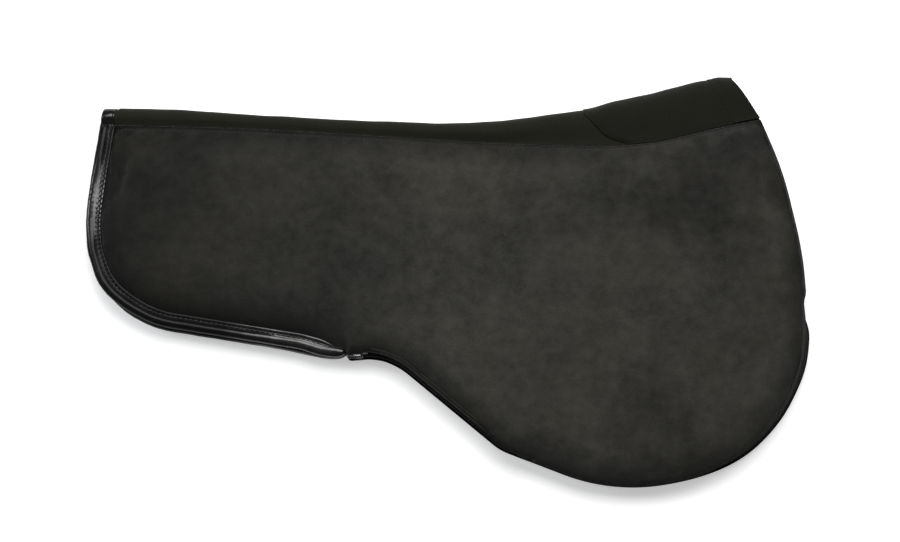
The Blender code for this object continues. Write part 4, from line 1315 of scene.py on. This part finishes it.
# The roll's puckers and the dip at its stitches, with what the lower rear corner adds to each
PUCKER, CORNER_PUCKER = 0.004, 0.022
PUCKER_LENGTHS, PUCKER_PHASE = (0.037, 0.083), 0.6
SEAM_DIP, CORNER_DIP = 0.00008, 0.00014
DIP_WANDER, DIP_WANDER_LENGTH = 0.0001, 0.029
CORNER_BELL = (0.095, 0.042)
# Where the roll is pressed flat: by how much, and the start and run of its ramps
REAR_FLAT, REAR_FLAT_START, REAR_FLAT_STOP = 0.9, (0.022, 0.03), (0.080, 0.035)
BELLY_FLAT, BELLY_FLAT_START, BELLY_FLAT_FADE = 0.8, (0.265, 0.05), 0.014
# The flange narrows beyond this many radii of the roll, at most to this share
FLANGE_FROM, FLANGE_LEAST = 1.7, 0.15
# The rounded end: the share of its size that the last section keeps, what it is drawn to, and the run
END_SIZE, END_FOCUS, END_RUN = 0.12, 0.0012, 0.0085
HEM_PINCH, HEM_PINCH_BELL = 0.07, (0.0035, 0.004)
# The seam's stitches: from the hem to a share of the flange's taper before its end, with height and arch
STITCHES_START, STITCHES_STOP = 0.004, 0.8
STITCH_HEIGHT, STITCH_ARCH = 0.00684, 0.0001


def binding_section(pucker, dip, flat):
    """Section of the leather, as closed arrays of (across, height): a roll, a flange above, a leg below.

    Across is the distance inside the free edge. pucker swells the roll, dip draws the flange down at its
    stitches, and flat presses the roll's upper half to a superellipse; each has one value a section.
    """
    centre = np.array([ROLL_RADIUS, CLEARANCE + ROLL_RADIUS])
    turn = np.linspace(-math.pi / 2, -math.pi * 3 / 2 - ROLL_PAST_TOP, ROLL_POINTS)
    swell = 1 + pucker[:, None] * (0.5 - 0.5 * np.cos(np.linspace(0, 2 * math.pi, ROLL_POINTS)))[None]
    wide, tall = np.cos(turn), np.sin(turn)
    inner = centre + (ROLL_RADIUS - LEATHER) * np.stack([wide, tall], -1)[::-1]
    pressed_wide = np.sign(wide) * np.abs(wide) ** ROLL_FLAT_POWER
    pressed_tall = np.where(tall > 0, ROLL_FLAT_HEIGHT * np.abs(tall) ** ROLL_FLAT_POWER, tall)
    wide = wide + np.where(tall > 0, flat[:, None], 0.0) * (pressed_wide - wide)
    tall = tall + flat[:, None] * (pressed_tall - tall)
    outer = centre + (ROLL_RADIUS * swell)[..., None] * np.stack([wide, tall], -1)
    inner = np.broadcast_to(inner, outer.shape).copy()
    inner[..., 1] -= flat[:, None] * np.maximum(inner[..., 1] - centre[1], 0.0) * (1.0 - ROLL_FLAT_HEIGHT)
    across, high, sink = np.array(FLANGE).T
    high = high + sink * dip[:, None]
    flange = np.stack([np.broadcast_to(across, high.shape), high], -1)
    top = CLEARANCE + LEATHER
    leg = ((LEG_START, top), (BINDING_WIDTH, top), (BINDING_WIDTH, CLEARANCE), (LEG_START, CLEARANCE))
    under, leg = (np.broadcast_to(line, (len(pucker), 4, 2)) for line in (FLANGE_UNDER, leg))
    return np.concatenate([outer, flange, under, inner, leg], 1)


def make_rear_binding(prefix, side, sewing):
    """The binding swept along the rear edge, gathered between its stitches, with a rounded end at the belly.

    At its end every section is drawn towards the roll's middle as a quarter ellipse draws in. The roll is
    pressed flat beside the rear edge and again under the belly.
    """
    last = BINDING_STOP - CLEARANCE
    place = np.linspace(CLEARANCE, last, BINDING_SECTIONS)
    uneven = np.sin(2 * math.pi * (place / PUCKER_LENGTHS[0]) + PUCKER_PHASE)
    uneven = 0.5 + 0.5 * uneven * np.sin(2 * math.pi * place / PUCKER_LENGTHS[1])
    gather = 0.5 - 0.5 * np.cos(2 * math.pi * (place / sewing.binding_pitch))
    corner = bell(place, *CORNER_BELL)
    pucker = (PUCKER + CORNER_PUCKER * corner) * gather * uneven
    pucker += ROLL_SWELL * ripple(place, 0.0, ROLL_WAVES)
    dip = -(SEAM_DIP + CORNER_DIP * corner) * (1 - gather)
    dip += DIP_WANDER * np.sin(2 * math.pi * place / DIP_WANDER_LENGTH)
    flat = REAR_FLAT * ramp(place, *REAR_FLAT_START) * (1.0 - ramp(place, *REAR_FLAT_STOP))
    flat += BELLY_FLAT * ramp(place, *BELLY_FLAT_START) * smooth_step((last - place) / BELLY_FLAT_FADE)
    profile = binding_section(pucker, dip, flat)
    narrow = (flange_width(place) - 2 * ROLL_RADIUS) / (BINDING_WIDTH - 2 * ROLL_RADIUS)
    beyond = profile[..., 0] - FLANGE_FROM * ROLL_RADIUS
    profile[..., 0] -= np.maximum(beyond, 0.0) * (1.0 - np.maximum(narrow, FLANGE_LEAST))[:, None]
    focus = np.array([ROLL_RADIUS + END_FOCUS, CLEARANCE + ROLL_RADIUS])
    size = END_SIZE + (1.0 - END_SIZE) * climb((last - place) / END_RUN)
    profile = focus + (profile - focus) * size[:, None, None]
    profile[..., 1] *= 1 - HEM_PINCH * bell(place, *HEM_PINCH_BELL)[:, None]
    points, faces, uv = swept(place, profile)
    piece = closed_piece(f"{prefix}_leather_binding", laid(points, side), faces, finishes()["leather"], uv)
    return settle(piece, "leather", f"{prefix}_half", f"{prefix}_rear_binding")


def make_binding_stitches(prefix, side, sewing):
    """Stitches on the flange, and their under threads on the leg, a pitch apart."""
    place = np.linspace(STITCHES_START, BINDING_STOP - FLANGE_TAPER_RUN * STITCHES_STOP, SEAM_SAMPLES)
    seam = PATH.inset(place, np.full(place.shape, BINDING_SEAM))
    length, radius = sewing.binding_pitch * BINDING_STITCH, sewing.thread * BINDING_STITCH_RADIUS
    for face, height, up in (("outer", STITCH_HEIGHT, side), ("inner", CLEARANCE, -side)):
        at, along = seam_steps(laid(raised(seam, height), side), sewing.binding_pitch)
        ups = np.tile([0.0, 0.0, up], (len(at), 1))
        make_stitches(
            f"{prefix}_binding_stitches_{face}", at, along, ups, length, radius, f"{prefix}_half",
            "leather", STITCH_ARCH,
        )


# Spine band


RIB_LEG, RIB_SPREAD, RIB_TURN = 6, 18, 16
FRONT_CORNER = 0.0036
FRONT_CORNER_SHARE = 0.15
LAYER_UNEVENNESS = 0.0003
# How far the layers reach past the front, and where those over the withers start above the hem
BAND_PAST, PANEL_PAST, TURNED_PAST = 0.0012, 0.0010, 0.0015
LAYER_FOOT = 0.0004
# The withers layer's rear edge: length of its press and share of its thickness, and their change up the rib
PANEL_PRESS, PANEL_PRESS_MORE, PANEL_PRESS_RAMP = 0.008, 0.022, (0.5, 0.4)
PANEL_EDGE, PANEL_EDGE_LESS, PANEL_EDGE_RAMP = 0.50, 0.38, (0.65, 0.25)
PANEL_FOOT, PANEL_FOOT_RISE = 0.35, 0.08
# The turned edge's thickness beside the hem, and at its rear edge with the length of the press there
TURNED_SIDE, TURNED_SIDE_RAMP = 0.12, (0.45, 0.4)
TURNED_EDGE, TURNED_PRESS = 0.06, 0.012


def rib_line(share, lowest, outset, leg=RIB_LEG, spread=RIB_SPREAD, turn=RIB_TURN):
    """Half cross sections of the spine band, as rise and height arrays of (rows, points).

    The leg runs up to the hem, the middle part spreads by a smooth step, and a quarter circle closes the
    ridge. The outset moves each point along the section's own normal. share has shape (rows, points) or
    (rows, 1).
    """
    rise = spine_rise(share)
    radius = np.minimum(SPINE_ROLL, rise / 2)
    shoulder = rise - radius
    count = spread + turn + (leg if lowest < 0.0 else 0)
    share = np.broadcast_to(share, (share.shape[0], count))
    rise, radius, shoulder = (np.broadcast_to(a, share.shape) for a in (rise, radius, shoulder))
    start = max(lowest, 0.0)
    part = np.linspace(0.0, 1.0, spread)
    angle = np.linspace(0.0, math.pi / 2, turn + 1)[1:]
    legs = np.linspace(lowest, 0.0, leg + 1)[:-1] if lowest < 0.0 else np.zeros(0)
    n = len(legs)
    r, h = np.empty(share.shape), np.empty(share.shape)
    dr, dh = np.ones(share.shape), np.zeros(share.shape)
    r[:, :n], h[:, :n] = legs, MESH_MIDDLE
    middle = slice(n, n + spread)
    s, w = shoulder[:, middle], radius[:, middle]
    r[:, middle] = start + (s - start) * part
    t = np.clip(r[:, middle] / s, 0, 1)
    h[:, middle] = MESH_MIDDLE + (w - MESH_MIDDLE) * smooth_step(t)
    dh[:, middle] = (w - MESH_MIDDLE) * 6 * t * (1 - t) / s
    top = slice(n + spread, None)
    r[:, top] = shoulder[:, top] + radius[:, top] * np.sin(angle)
    h[:, top] = radius[:, top] * np.cos(angle)
    dr[:, top], dh[:, top] = np.cos(angle), -np.sin(angle)
    size = np.hypot(dr, dh)
    return r - outset * dh / size, h + outset * dr / size


def band_points(share, rise, height):
    """Places a rib's points. The front ribs lean back like the raked front edge, the rear ones forward."""
    x = PATH.start[0] + RUN * share
    reach = spine_rise(share) + MESH
    rake = FRONT_RAKE * smooth_step((share - RAKE_START) / (1.0 - RAKE_START))
    back = rake * np.clip(np.maximum(rise, 0.0) / reach, 0.0, 1.0)
    forward = math.tan(REAR_LEAN) * rise * (1.0 - smooth_step(share / REAR_LEAN_SHARE))
    return np.stack([x - back + forward, hem_height(x) + rise, height], -1)


def band_surface(share, lowest, outset):
    """Both sides of a layer's surface over the spine, leg to leg, from the shares of its points."""
    rise, height = rib_line(share, lowest, outset)
    half = band_points(share, rise, height)
    return np.concatenate([half, half[:, -2::-1] * [1, 1, -1]], 1)


def front_share(up, gap):
    """The front end of a layer, with a small round corner at the ridge."""
    return 1.0 - (gap + FRONT_CORNER * (1.0 - climb((1.0 - up) / FRONT_CORNER_SHARE))) / RUN


def layer_piece(name, rows, rear, gap, lowest, inner, thickness_at, finish, replaced):
    """A layer over the spine: both its surfaces, its UV in metres and a soft unevenness.

    rear and thickness_at take the way up a rib, 0 to 1; thickness_at also takes the distance from the
    layer's rear edge and gives a share of the full thickness. inner holds that thickness and the outset
    of the layer's inner surface, and gap how far the layer stops short of the front.
    """
    thick, base = inner
    probe = RIB_SPREAD + RIB_TURN + (RIB_LEG if lowest < 0.0 else 0)
    up = np.linspace(0.0, 1.0, probe)[None]
    back = rear(up)
    share = back + (front_share(up, gap) - back) * np.linspace(0.0, 1.0, rows)[:, None]
    rise, _ = rib_line(share, lowest, 0.0)
    lump = LAYER_UNEVENNESS * ripple(RUN * share, rise, LAYER_WAVES) * smooth_step(rise / 0.006)
    thick = thick * thickness_at(np.broadcast_to(up, share.shape), (share - back) * RUN)
    low = band_surface(share, lowest, base + lump)
    high = band_surface(share, lowest, base + lump + thick)
    points, faces = slab(high, low)
    length = lengths_along(high)
    length -= length[:, length.shape[1] // 2][:, None]
    uv = np.stack([high[..., 0], length], -1).reshape(-1, 2)
    piece = closed_piece(name, on_side(points, RIGHT), faces, finish, np.concatenate([uv, uv]))
    settle(piece, "mesh", "both", replaced)
    return piece


def make_spine():
    """The band, the second layer over the withers, and that layer's turned front edge.

    The second layer is pressed thin at its rear edge, and the turned edge is thick only over the ridge.
    """
    look = finishes()
    panel_base = MESH / 2 + LAYER_GAP
    turned_base = panel_base + PANEL_MESH + LAYER_GAP

    def band_rear(up):
        return np.full(up.shape, EDGE_TUCK / RUN)

    def band_thickness(up, _):
        return np.ones(up.shape)

    def panel_rear(up):
        sloped = np.clip(up / PANEL_REAR_RISE, 0, 1)
        length = PANEL_AT_HEM + (PANEL_AT_RIDGE - PANEL_AT_HEM) * sloped
        length = length - PANEL_CORNER * (1.0 - np.clip(up / PANEL_CORNER_RISE, 0, 1)) ** 2
        return 1.0 - (0.0012 + length) / RUN

    def panel_thickness(up, gap):
        pressed = PANEL_PRESS + PANEL_PRESS_MORE * ramp(up, *PANEL_PRESS_RAMP)
        edge = PANEL_EDGE - PANEL_EDGE_LESS * ramp(up, *PANEL_EDGE_RAMP)
        foot = PANEL_FOOT + (1.0 - PANEL_FOOT) * climb(up / PANEL_FOOT_RISE)
        return (edge + (1.0 - edge) * smooth_step(gap / pressed)) * foot

    def turned_rear(up):
        return np.full(up.shape, 1.0 - (0.0006 + FRONT_HEM_WIDTH) / RUN)

    def turned_thickness(up, gap):
        over_ridge = TURNED_SIDE + (1.0 - TURNED_SIDE) * ramp(up, *TURNED_SIDE_RAMP)
        return over_ridge * (TURNED_EDGE + (1.0 - TURNED_EDGE) * smooth_step(gap / TURNED_PRESS))

    layer_piece(
        "spine_band", 421, band_rear, -BAND_PAST, -LEG_OVERLAP,
        (MESH, -MESH / 2), band_thickness, look["mesh"], "spine_mesh",
    )
    layer_piece(
        "withers_layer", 141, panel_rear, -PANEL_PAST, LAYER_FOOT,
        (PANEL_MESH, panel_base), panel_thickness, look["panel"], "withers_panel",
    )
    layer_piece(
        "withers_turned_edge", 31, turned_rear, -TURNED_PAST, LAYER_FOOT,
        (FRONT_HEM_MESH, turned_base), turned_thickness, look["panel"], "withers_front_hem",
    )


CREASE_PLACE = 0.0115
CREASE_REACH = 0.0016
CREASE_DEPTH = 0.10
# The fold's superellipse, wide and tall, and the seam's distance inside the leather's edge
FOLD_WIDE, FOLD_TALL = 0.6, 0.75
SPINE_SEAM_INSET = 0.0021


def make_spine_binding():
    """The leather over the spine's rear end: a flat U over the band's edge, carried over the spine.

    Its sections follow the band's own rib, its legs lie on both faces of the band, and it is pressed in a
    little over both hems.
    """
    share = np.full((1, 1), EDGE_TUCK / RUN)
    rise, height = rib_line(share, -LEG_OVERLAP, 0.0, leg=8, spread=20, turn=22)
    line = np.stack([rise[0], height[0]], -1)[1:]
    line = np.concatenate([line, (line * [1, -1])[-2::-1]])
    along = np.gradient(line, axis=0)
    along[0], along[-1] = (1.0, 0.0), (-1.0, 0.0)
    along /= np.linalg.norm(along, axis=1)[:, None]
    out = MESH / 2 + CLEARANCE + LEATHER
    inside = out - LEATHER
    angle = np.linspace(-math.pi / 2, math.pi / 2, 13)
    fold = np.abs(np.cos(angle)) ** FOLD_WIDE
    outer = np.stack([out - out * fold, out * np.sign(angle) * np.abs(np.sin(angle)) ** FOLD_TALL], -1)
    inner = np.stack([out - inside * np.cos(angle[::-1]), inside * np.sin(angle[::-1])], -1)
    seam = SPINE_BINDING_WIDTH - SPINE_SEAM_INSET
    flange = np.array([
        (seam - 0.003, out), (seam - 0.0006, out - 0.0001), (seam, out - 0.0003),
        (seam + 0.0006, out - 0.0001), (SPINE_BINDING_WIDTH, out - 0.0001), (SPINE_BINDING_WIDTH, inside),
    ])
    profile = np.concatenate([flange[::-1] * [1, -1], outer, flange, inner])
    lean = PATH.direction(np.array(0.0))
    lean = -lean / lean[1]
    place = lengths_along(line)
    creases = bell(place, CREASE_PLACE, CREASE_REACH) + bell(place[-1] - place, CREASE_PLACE, CREASE_REACH)
    pressed = (1 - CREASE_DEPTH * creases)[:, None]
    tall = profile[None, :, 1] * np.where(profile[None, :, 1] > 0, pressed, 1.0)
    r = line[:, :1] - tall * along[:, 1:]
    h = line[:, 1:] + tall * along[:, :1]
    x = PATH.start[0] - lean[0] * r + profile[None, :, 0]
    points = on_side(np.stack([x, PATH.start[1] + r, h], -1), RIGHT)
    uv = np.stack(np.broadcast_arrays(place[:, None] + BINDING_STOP, lengths_along(profile)[None]), -1)
    faces = tube_faces(*points.shape[:2])
    piece = closed_piece("spine_leather", points, faces, finishes()["leather"], uv)
    return settle(piece, "leather", "both", "spine_rear_binding")


# Zip


CORD_RADIUS = 0.0005
# Half the opening between the tapes, and how far the outer one reaches under the suede
TAPE_OPENING, TAPE_TUCK = 0.0030, 0.0015
STOP_BEVEL, SLIDER_BEVEL, PULL_BEVEL = 0.0003, 0.00025, 0.0003
TAPE_LEAN = {"outer": 0.0014, "inner": 0.0}
TEETH_REACH = 0.0016
TOOTH_WIDTH = 0.0023
TOOTH_DEPTH = 0.0022
TOOTH_SHARE = 0.62
TEETH_FROM_STOPS = (0.0006, 0.0005)
# A tooth's section along the zip and across it, and its levels with their girths
TOOTH_SECTION = (
    (-1, -0.7), (-0.7, -1), (0.7, -1), (1, -0.7), (0.75, 0.8), (0.4, 1), (-0.4, 1), (-0.75, 0.8)
)
TOOTH_LEVELS = ((-0.5, 0.72), (-0.3, 1.0), (0.3, 1.0), (0.5, 0.72))


def make_tape(prefix, side, name, low, high):
    """A woven tape with a corded edge beside the teeth."""
    place = np.linspace(ZIP_START + CLEARANCE, ZIP_STOP - CLEARANCE, 121)
    edge, far, way = (low, high, 1) if name == "outer" else (high, low, -1)
    angle = np.linspace(0.25 * math.pi, 1.75 * math.pi, 9)
    sideways, upwards = CORD_RADIUS * np.sin(angle), CORD_RADIUS - CORD_RADIUS * np.cos(angle)
    bead = np.stack([ZIP_SETBACK + sideways, edge + way * upwards], -1)
    middle, half = ZIP_SETBACK + TAPE_LEAN[name], TAPE_THICKNESS / 2
    profile = np.concatenate([bead, [(middle - half, far), (middle + half, far)]])
    points, faces, uv = swept(place, np.broadcast_to(profile, (len(place), *profile.shape)))
    piece = closed_piece(f"{prefix}_tape_{name}", on_side(points, side), faces, finishes()["tape"], uv)
    return settle(piece, "tape", f"{prefix}_half", f"{prefix}_zip_tape_{name}")


def tooth_shape(long, wide, deep):
    """A moulded tooth: a rounded block, narrower at its nose. Axes: along the zip, across it, outwards."""
    level, girth = np.array(TOOTH_LEVELS).T[..., None]
    x, y = np.array(TOOTH_SECTION).T / 2
    points = np.stack(np.broadcast_arrays(x * long * girth, y * wide * girth, level * deep), -1)
    return points.reshape(-1, 3), tube_faces(len(TOOTH_LEVELS), len(TOOTH_SECTION))


def make_teeth(prefix, side, name, way, sewing):
    """A row of teeth, each turned square to the zip; the two rows stand half a pitch apart."""
    shift = 0.0 if way > 0 else sewing.tooth_pitch / 2
    first, last = ROW_START + TEETH_FROM_STOPS[0] + shift, ROW_STOP - TEETH_FROM_STOPS[1]
    place = np.arange(first, last, sewing.tooth_pitch)
    points, faces = tooth_shape(sewing.tooth_pitch * TOOTH_SHARE, TOOTH_WIDTH, TOOTH_DEPTH)
    along, inward, at = PATH.direction(place), PATH.inward(place), PATH.point(place)
    plan = (
        at[:, None] + along[:, None] * points[None, :, :1]
        + inward[:, None] * (ZIP_SETBACK - points[None, :, 2:3])
    )
    every = on_side(raised(plan, ZIP_CENTRE + way * (TEETH_REACH - points[:, 1])), side)
    faces = repeated_faces(outward_faces(every[0], faces), len(points), len(place))
    piece = new_piece(f"{prefix}_teeth_{name}", every, faces, finishes()["teeth"])
    return settle(piece, "teeth", f"{prefix}_half", f"{prefix}_zip_teeth_{name}")


def bevelled_copy(node, name, width, body):
    """The CAD node's own shape with its doubles merged and its edges rounded."""
    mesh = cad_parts[node].data.copy()
    mesh.materials.clear()
    mesh.materials.append(finishes()["metal"])
    piece = bpy.data.objects.new(name, mesh)
    bpy.context.scene.collection.objects.link(piece)
    weld = piece.modifiers.new("weld", "WELD")
    weld.merge_threshold = 0.00001
    flat = piece.modifiers.new("flat", "DECIMATE")
    flat.decimate_type = "DISSOLVE"
    flat.angle_limit = math.radians(1.0)
    round_edges = piece.modifiers.new("round", "BEVEL")
    round_edges.width = width
    round_edges.segments = 3
    round_edges.limit_method = "ANGLE"
    round_edges.angle_limit = math.radians(30)
    apply_modifiers(piece)
    piece.data.shade_smooth()
    piece.data.set_sharp_from_angle(angle=math.radians(50))
    return settle(piece, "metal", body, node)


# Stage


FLOOR_GLOW = 0.43
FLOOR_GLOW_RUN = (0.45, 1.6)
FLOOR_DROP = 0.0004
FLOOR_REACH = 4.0
# Each light's place, the point that it faces, its size and its colour
KEY_LIGHT = ((0.16, 0.60, 1.28), (0.02, 0, 0), (1.35, 0.88), (1.0, 0.997, 0.985))
SIDE_LIGHT = ((-0.95, 0.18, 0.78), (-0.25, 0.05, 0), (0.30, 0.5), (0.92, 0.96, 1.0))


def floor_finish():
    """Pale floor that keeps the shadow. What the camera sees of it is raised to white, more further out."""
    n = Nodes("floor")
    shade = n.make("ShaderNodeBsdfDiffuse", Color=(0.94, 0.94, 0.94, 1.0))
    seen = n.tree.nodes.new("ShaderNodeLightPath").outputs["Is Camera Ray"]
    away = n.distance(n.coordinates("Object"), (0.0, 0.0, 0.0))
    level = n.times(seen, n.spread(away, *FLOOR_GLOW_RUN, FLOOR_GLOW, 1.0))
    glow = n.make("ShaderNodeEmission", Strength=level)
    both = n.node("ShaderNodeAddShader", None, enumerate((shade, glow)))
    n.put(n.tree.nodes["Material Output"], "Surface", both.outputs[0])
    return n.material


def area_light(name, place, target, size, colour, power):
    data = bpy.data.lights.new(name, "AREA")
    data.shape = "RECTANGLE"
    data.size, data.size_y = size
    data.energy = power
    data.color = colour
    lamp = bpy.data.objects.new(name, data)
    bpy.context.scene.collection.objects.link(lamp)
    lamp.location = place
    lamp.visible_camera = False
    lamp.rotation_euler = (Vector(target) - Vector(place)).to_track_quat("-Z", "Y").to_euler()
    return lamp


def make_stage(stage):
    """The floor, the lights, the white surroundings and the camera."""
    x = np.linspace(-FLOOR_REACH, FLOOR_REACH, 9)
    X, Y = np.meshgrid(x, x)
    points = np.stack([X, Y, np.full(X.shape, -FLOOR_DROP)], -1)
    floor = new_piece("floor", points, grid_faces(9, 9), floor_finish())
    area_light("key", *KEY_LIGHT, stage.key_power)
    area_light("side", *SIDE_LIGHT, stage.side_power)
    world = bpy.data.worlds.new("sky")
    bpy.context.scene.world = world
    world.use_nodes = True
    nodes, links = world.node_tree.nodes, world.node_tree.links
    sky = nodes["Background"]
    sky.inputs["Color"].default_value = (0.97, 0.985, 1.0, 1.0)
    sky.inputs["Strength"].default_value = stage.sky
    white = nodes.new("ShaderNodeBackground")
    white.inputs["Strength"].default_value = 1.0
    white.inputs["Color"].default_value = (1.0, 1.0, 1.0, 1.0)
    mix = nodes.new("ShaderNodeMixShader")
    links.new(nodes.new("ShaderNodeLightPath").outputs["Is Camera Ray"], mix.inputs["Fac"])
    links.new(sky.outputs[0], mix.inputs[1])
    links.new(white.outputs[0], mix.inputs[2])
    links.new(mix.outputs[0], nodes["World Output"].inputs["Surface"])
    data = bpy.data.cameras.new("camera")
    data.sensor_width = 36.0
    data.lens = data.sensor_width * stage.camera_distance / stage.frame_width
    camera = bpy.data.objects.new("camera", data)
    bpy.context.scene.collection.objects.link(camera)
    away = Vector((0.0, -math.sin(stage.camera_tilt), math.cos(stage.camera_tilt)))
    camera.location = Vector(stage.target) + stage.camera_distance * away
    camera.rotation_euler = (stage.camera_tilt, 0.0, 0.0)
    bpy.context.scene.camera = camera
    bpy.context.scene.view_settings.view_transform = "Standard"


# Operators


class PadOperator:
    bl_options = {"REGISTER", "UNDO"}


class HALFPAD_OT_covers(PadOperator, bpy.types.Operator):
    """Make the two filled suede covers with their hem stitches"""

    bl_idname = "halfpad.covers"
    bl_label = "Covers"

    def execute(self, context):
        scene = context.scene
        for prefix, side in HALVES:
            make_cover(prefix, side, scene.half_pad_shape)
            make_hem_stitches(prefix, side, scene.half_pad_shape, scene.half_pad_sewing)
        return {"FINISHED"}


class HALFPAD_OT_fillings(PadOperator, bpy.types.Operator):
    """Make the foam inserts and the knit linings"""

    bl_idname = "halfpad.fillings"
    bl_label = "Inserts and linings"

    def execute(self, context):
        for prefix, side in HALVES:
            make_foam(prefix, side)
            make_lining(prefix, side)
        return {"FINISHED"}


class HALFPAD_OT_bindings(PadOperator, bpy.types.Operator):
    """Make the leather bindings of the rear edges with their stitches"""

    bl_idname = "halfpad.bindings"
    bl_label = "Rear bindings"

    def execute(self, context):
        sewing = context.scene.half_pad_sewing
        for prefix, side in HALVES:
            make_rear_binding(prefix, side, sewing)
            make_binding_stitches(prefix, side, sewing)
        return {"FINISHED"}


class HALFPAD_OT_spine(PadOperator, bpy.types.Operator):
    """Make the mesh band, the withers layers and the leather over the spine's rear end"""

    bl_idname = "halfpad.spine"
    bl_label = "Spine"

    def execute(self, context):
        make_spine()
        make_spine_binding()
        return {"FINISHED"}


class HALFPAD_OT_zips(PadOperator, bpy.types.Operator):
    """Make the tapes, teeth, stops, sliders and pulls of both zips"""

    bl_idname = "halfpad.zips"
    bl_label = "Zips"

    def execute(self, context):
        sewing = context.scene.half_pad_sewing
        for prefix, side in HALVES:
            make_tape(prefix, side, "outer", ZIP_CENTRE + TAPE_OPENING, ZIP_WALL_RIM + TAPE_TUCK)
            make_tape(prefix, side, "inner", RIM_LOW, ZIP_CENTRE - TAPE_OPENING)
            make_teeth(prefix, side, "outer", 1, sewing)
            make_teeth(prefix, side, "inner", -1, sewing)
            for stop in ("top_stop_outer", "top_stop_inner", "bottom_stop"):
                bevelled_copy(f"{prefix}_zip_{stop}", f"{prefix}_{stop}", STOP_BEVEL, f"{prefix}_half")
            bevelled_copy(f"{prefix}_zip_slider", f"{prefix}_slider_body", SLIDER_BEVEL, f"{prefix}_slider")
            bevelled_copy(f"{prefix}_zip_pull", f"{prefix}_pull_tab", PULL_BEVEL, f"{prefix}_pull")
        return {"FINISHED"}


class HALFPAD_OT_stage(PadOperator, bpy.types.Operator):
    """Make the floor, the lights and the camera"""

    bl_idname = "halfpad.stage"
    bl_label = "Stage"

    def execute(self, context):
        make_stage(context.scene.half_pad_stage)
        return {"FINISHED"}


OPERATORS = (
    HALFPAD_OT_stage, HALFPAD_OT_covers, HALFPAD_OT_fillings,
    HALFPAD_OT_bindings, HALFPAD_OT_spine, HALFPAD_OT_zips,
)
GROUPS = {
    "half_pad_shape": HalfPadShape,
    "half_pad_sewing": HalfPadSewing,
    "half_pad_colours": HalfPadColours,
    "half_pad_stage": HalfPadStage,
}


class HALFPAD_PT_sidebar(bpy.types.Panel):
    """Settings and operators of the half pad."""

    bl_idname = "HALFPAD_PT_sidebar"
    bl_label = "Half Pad"
    bl_space_type = "VIEW_3D"
    bl_region_type = "UI"
    bl_category = "Half Pad"

    def draw(self, context):
        for name in GROUPS:
            box = self.layout.box()
            settings = getattr(context.scene, name)
            for key in settings.__annotations__:
                box.prop(settings, key)
        for operator in OPERATORS:
            self.layout.operator(operator.bl_idname)


def register():
    for name, group in GROUPS.items():
        bpy.utils.register_class(group)
        setattr(bpy.types.Scene, name, PointerProperty(type=group))
    for operator in OPERATORS:
        bpy.utils.register_class(operator)
    bpy.utils.register_class(HALFPAD_PT_sidebar)


def unregister():
    bpy.utils.unregister_class(HALFPAD_PT_sidebar)
    for operator in reversed(OPERATORS):
        bpy.utils.unregister_class(operator)
    for name, group in reversed(GROUPS.items()):
        delattr(bpy.types.Scene, name)
        bpy.utils.unregister_class(group)


def main():
    register()
    bpy.ops.halfpad.stage()
    bpy.ops.halfpad.covers()
    bpy.ops.halfpad.fillings()
    bpy.ops.halfpad.bindings()
    bpy.ops.halfpad.spine()
    bpy.ops.halfpad.zips()


if __name__ == "__main__":
    main()
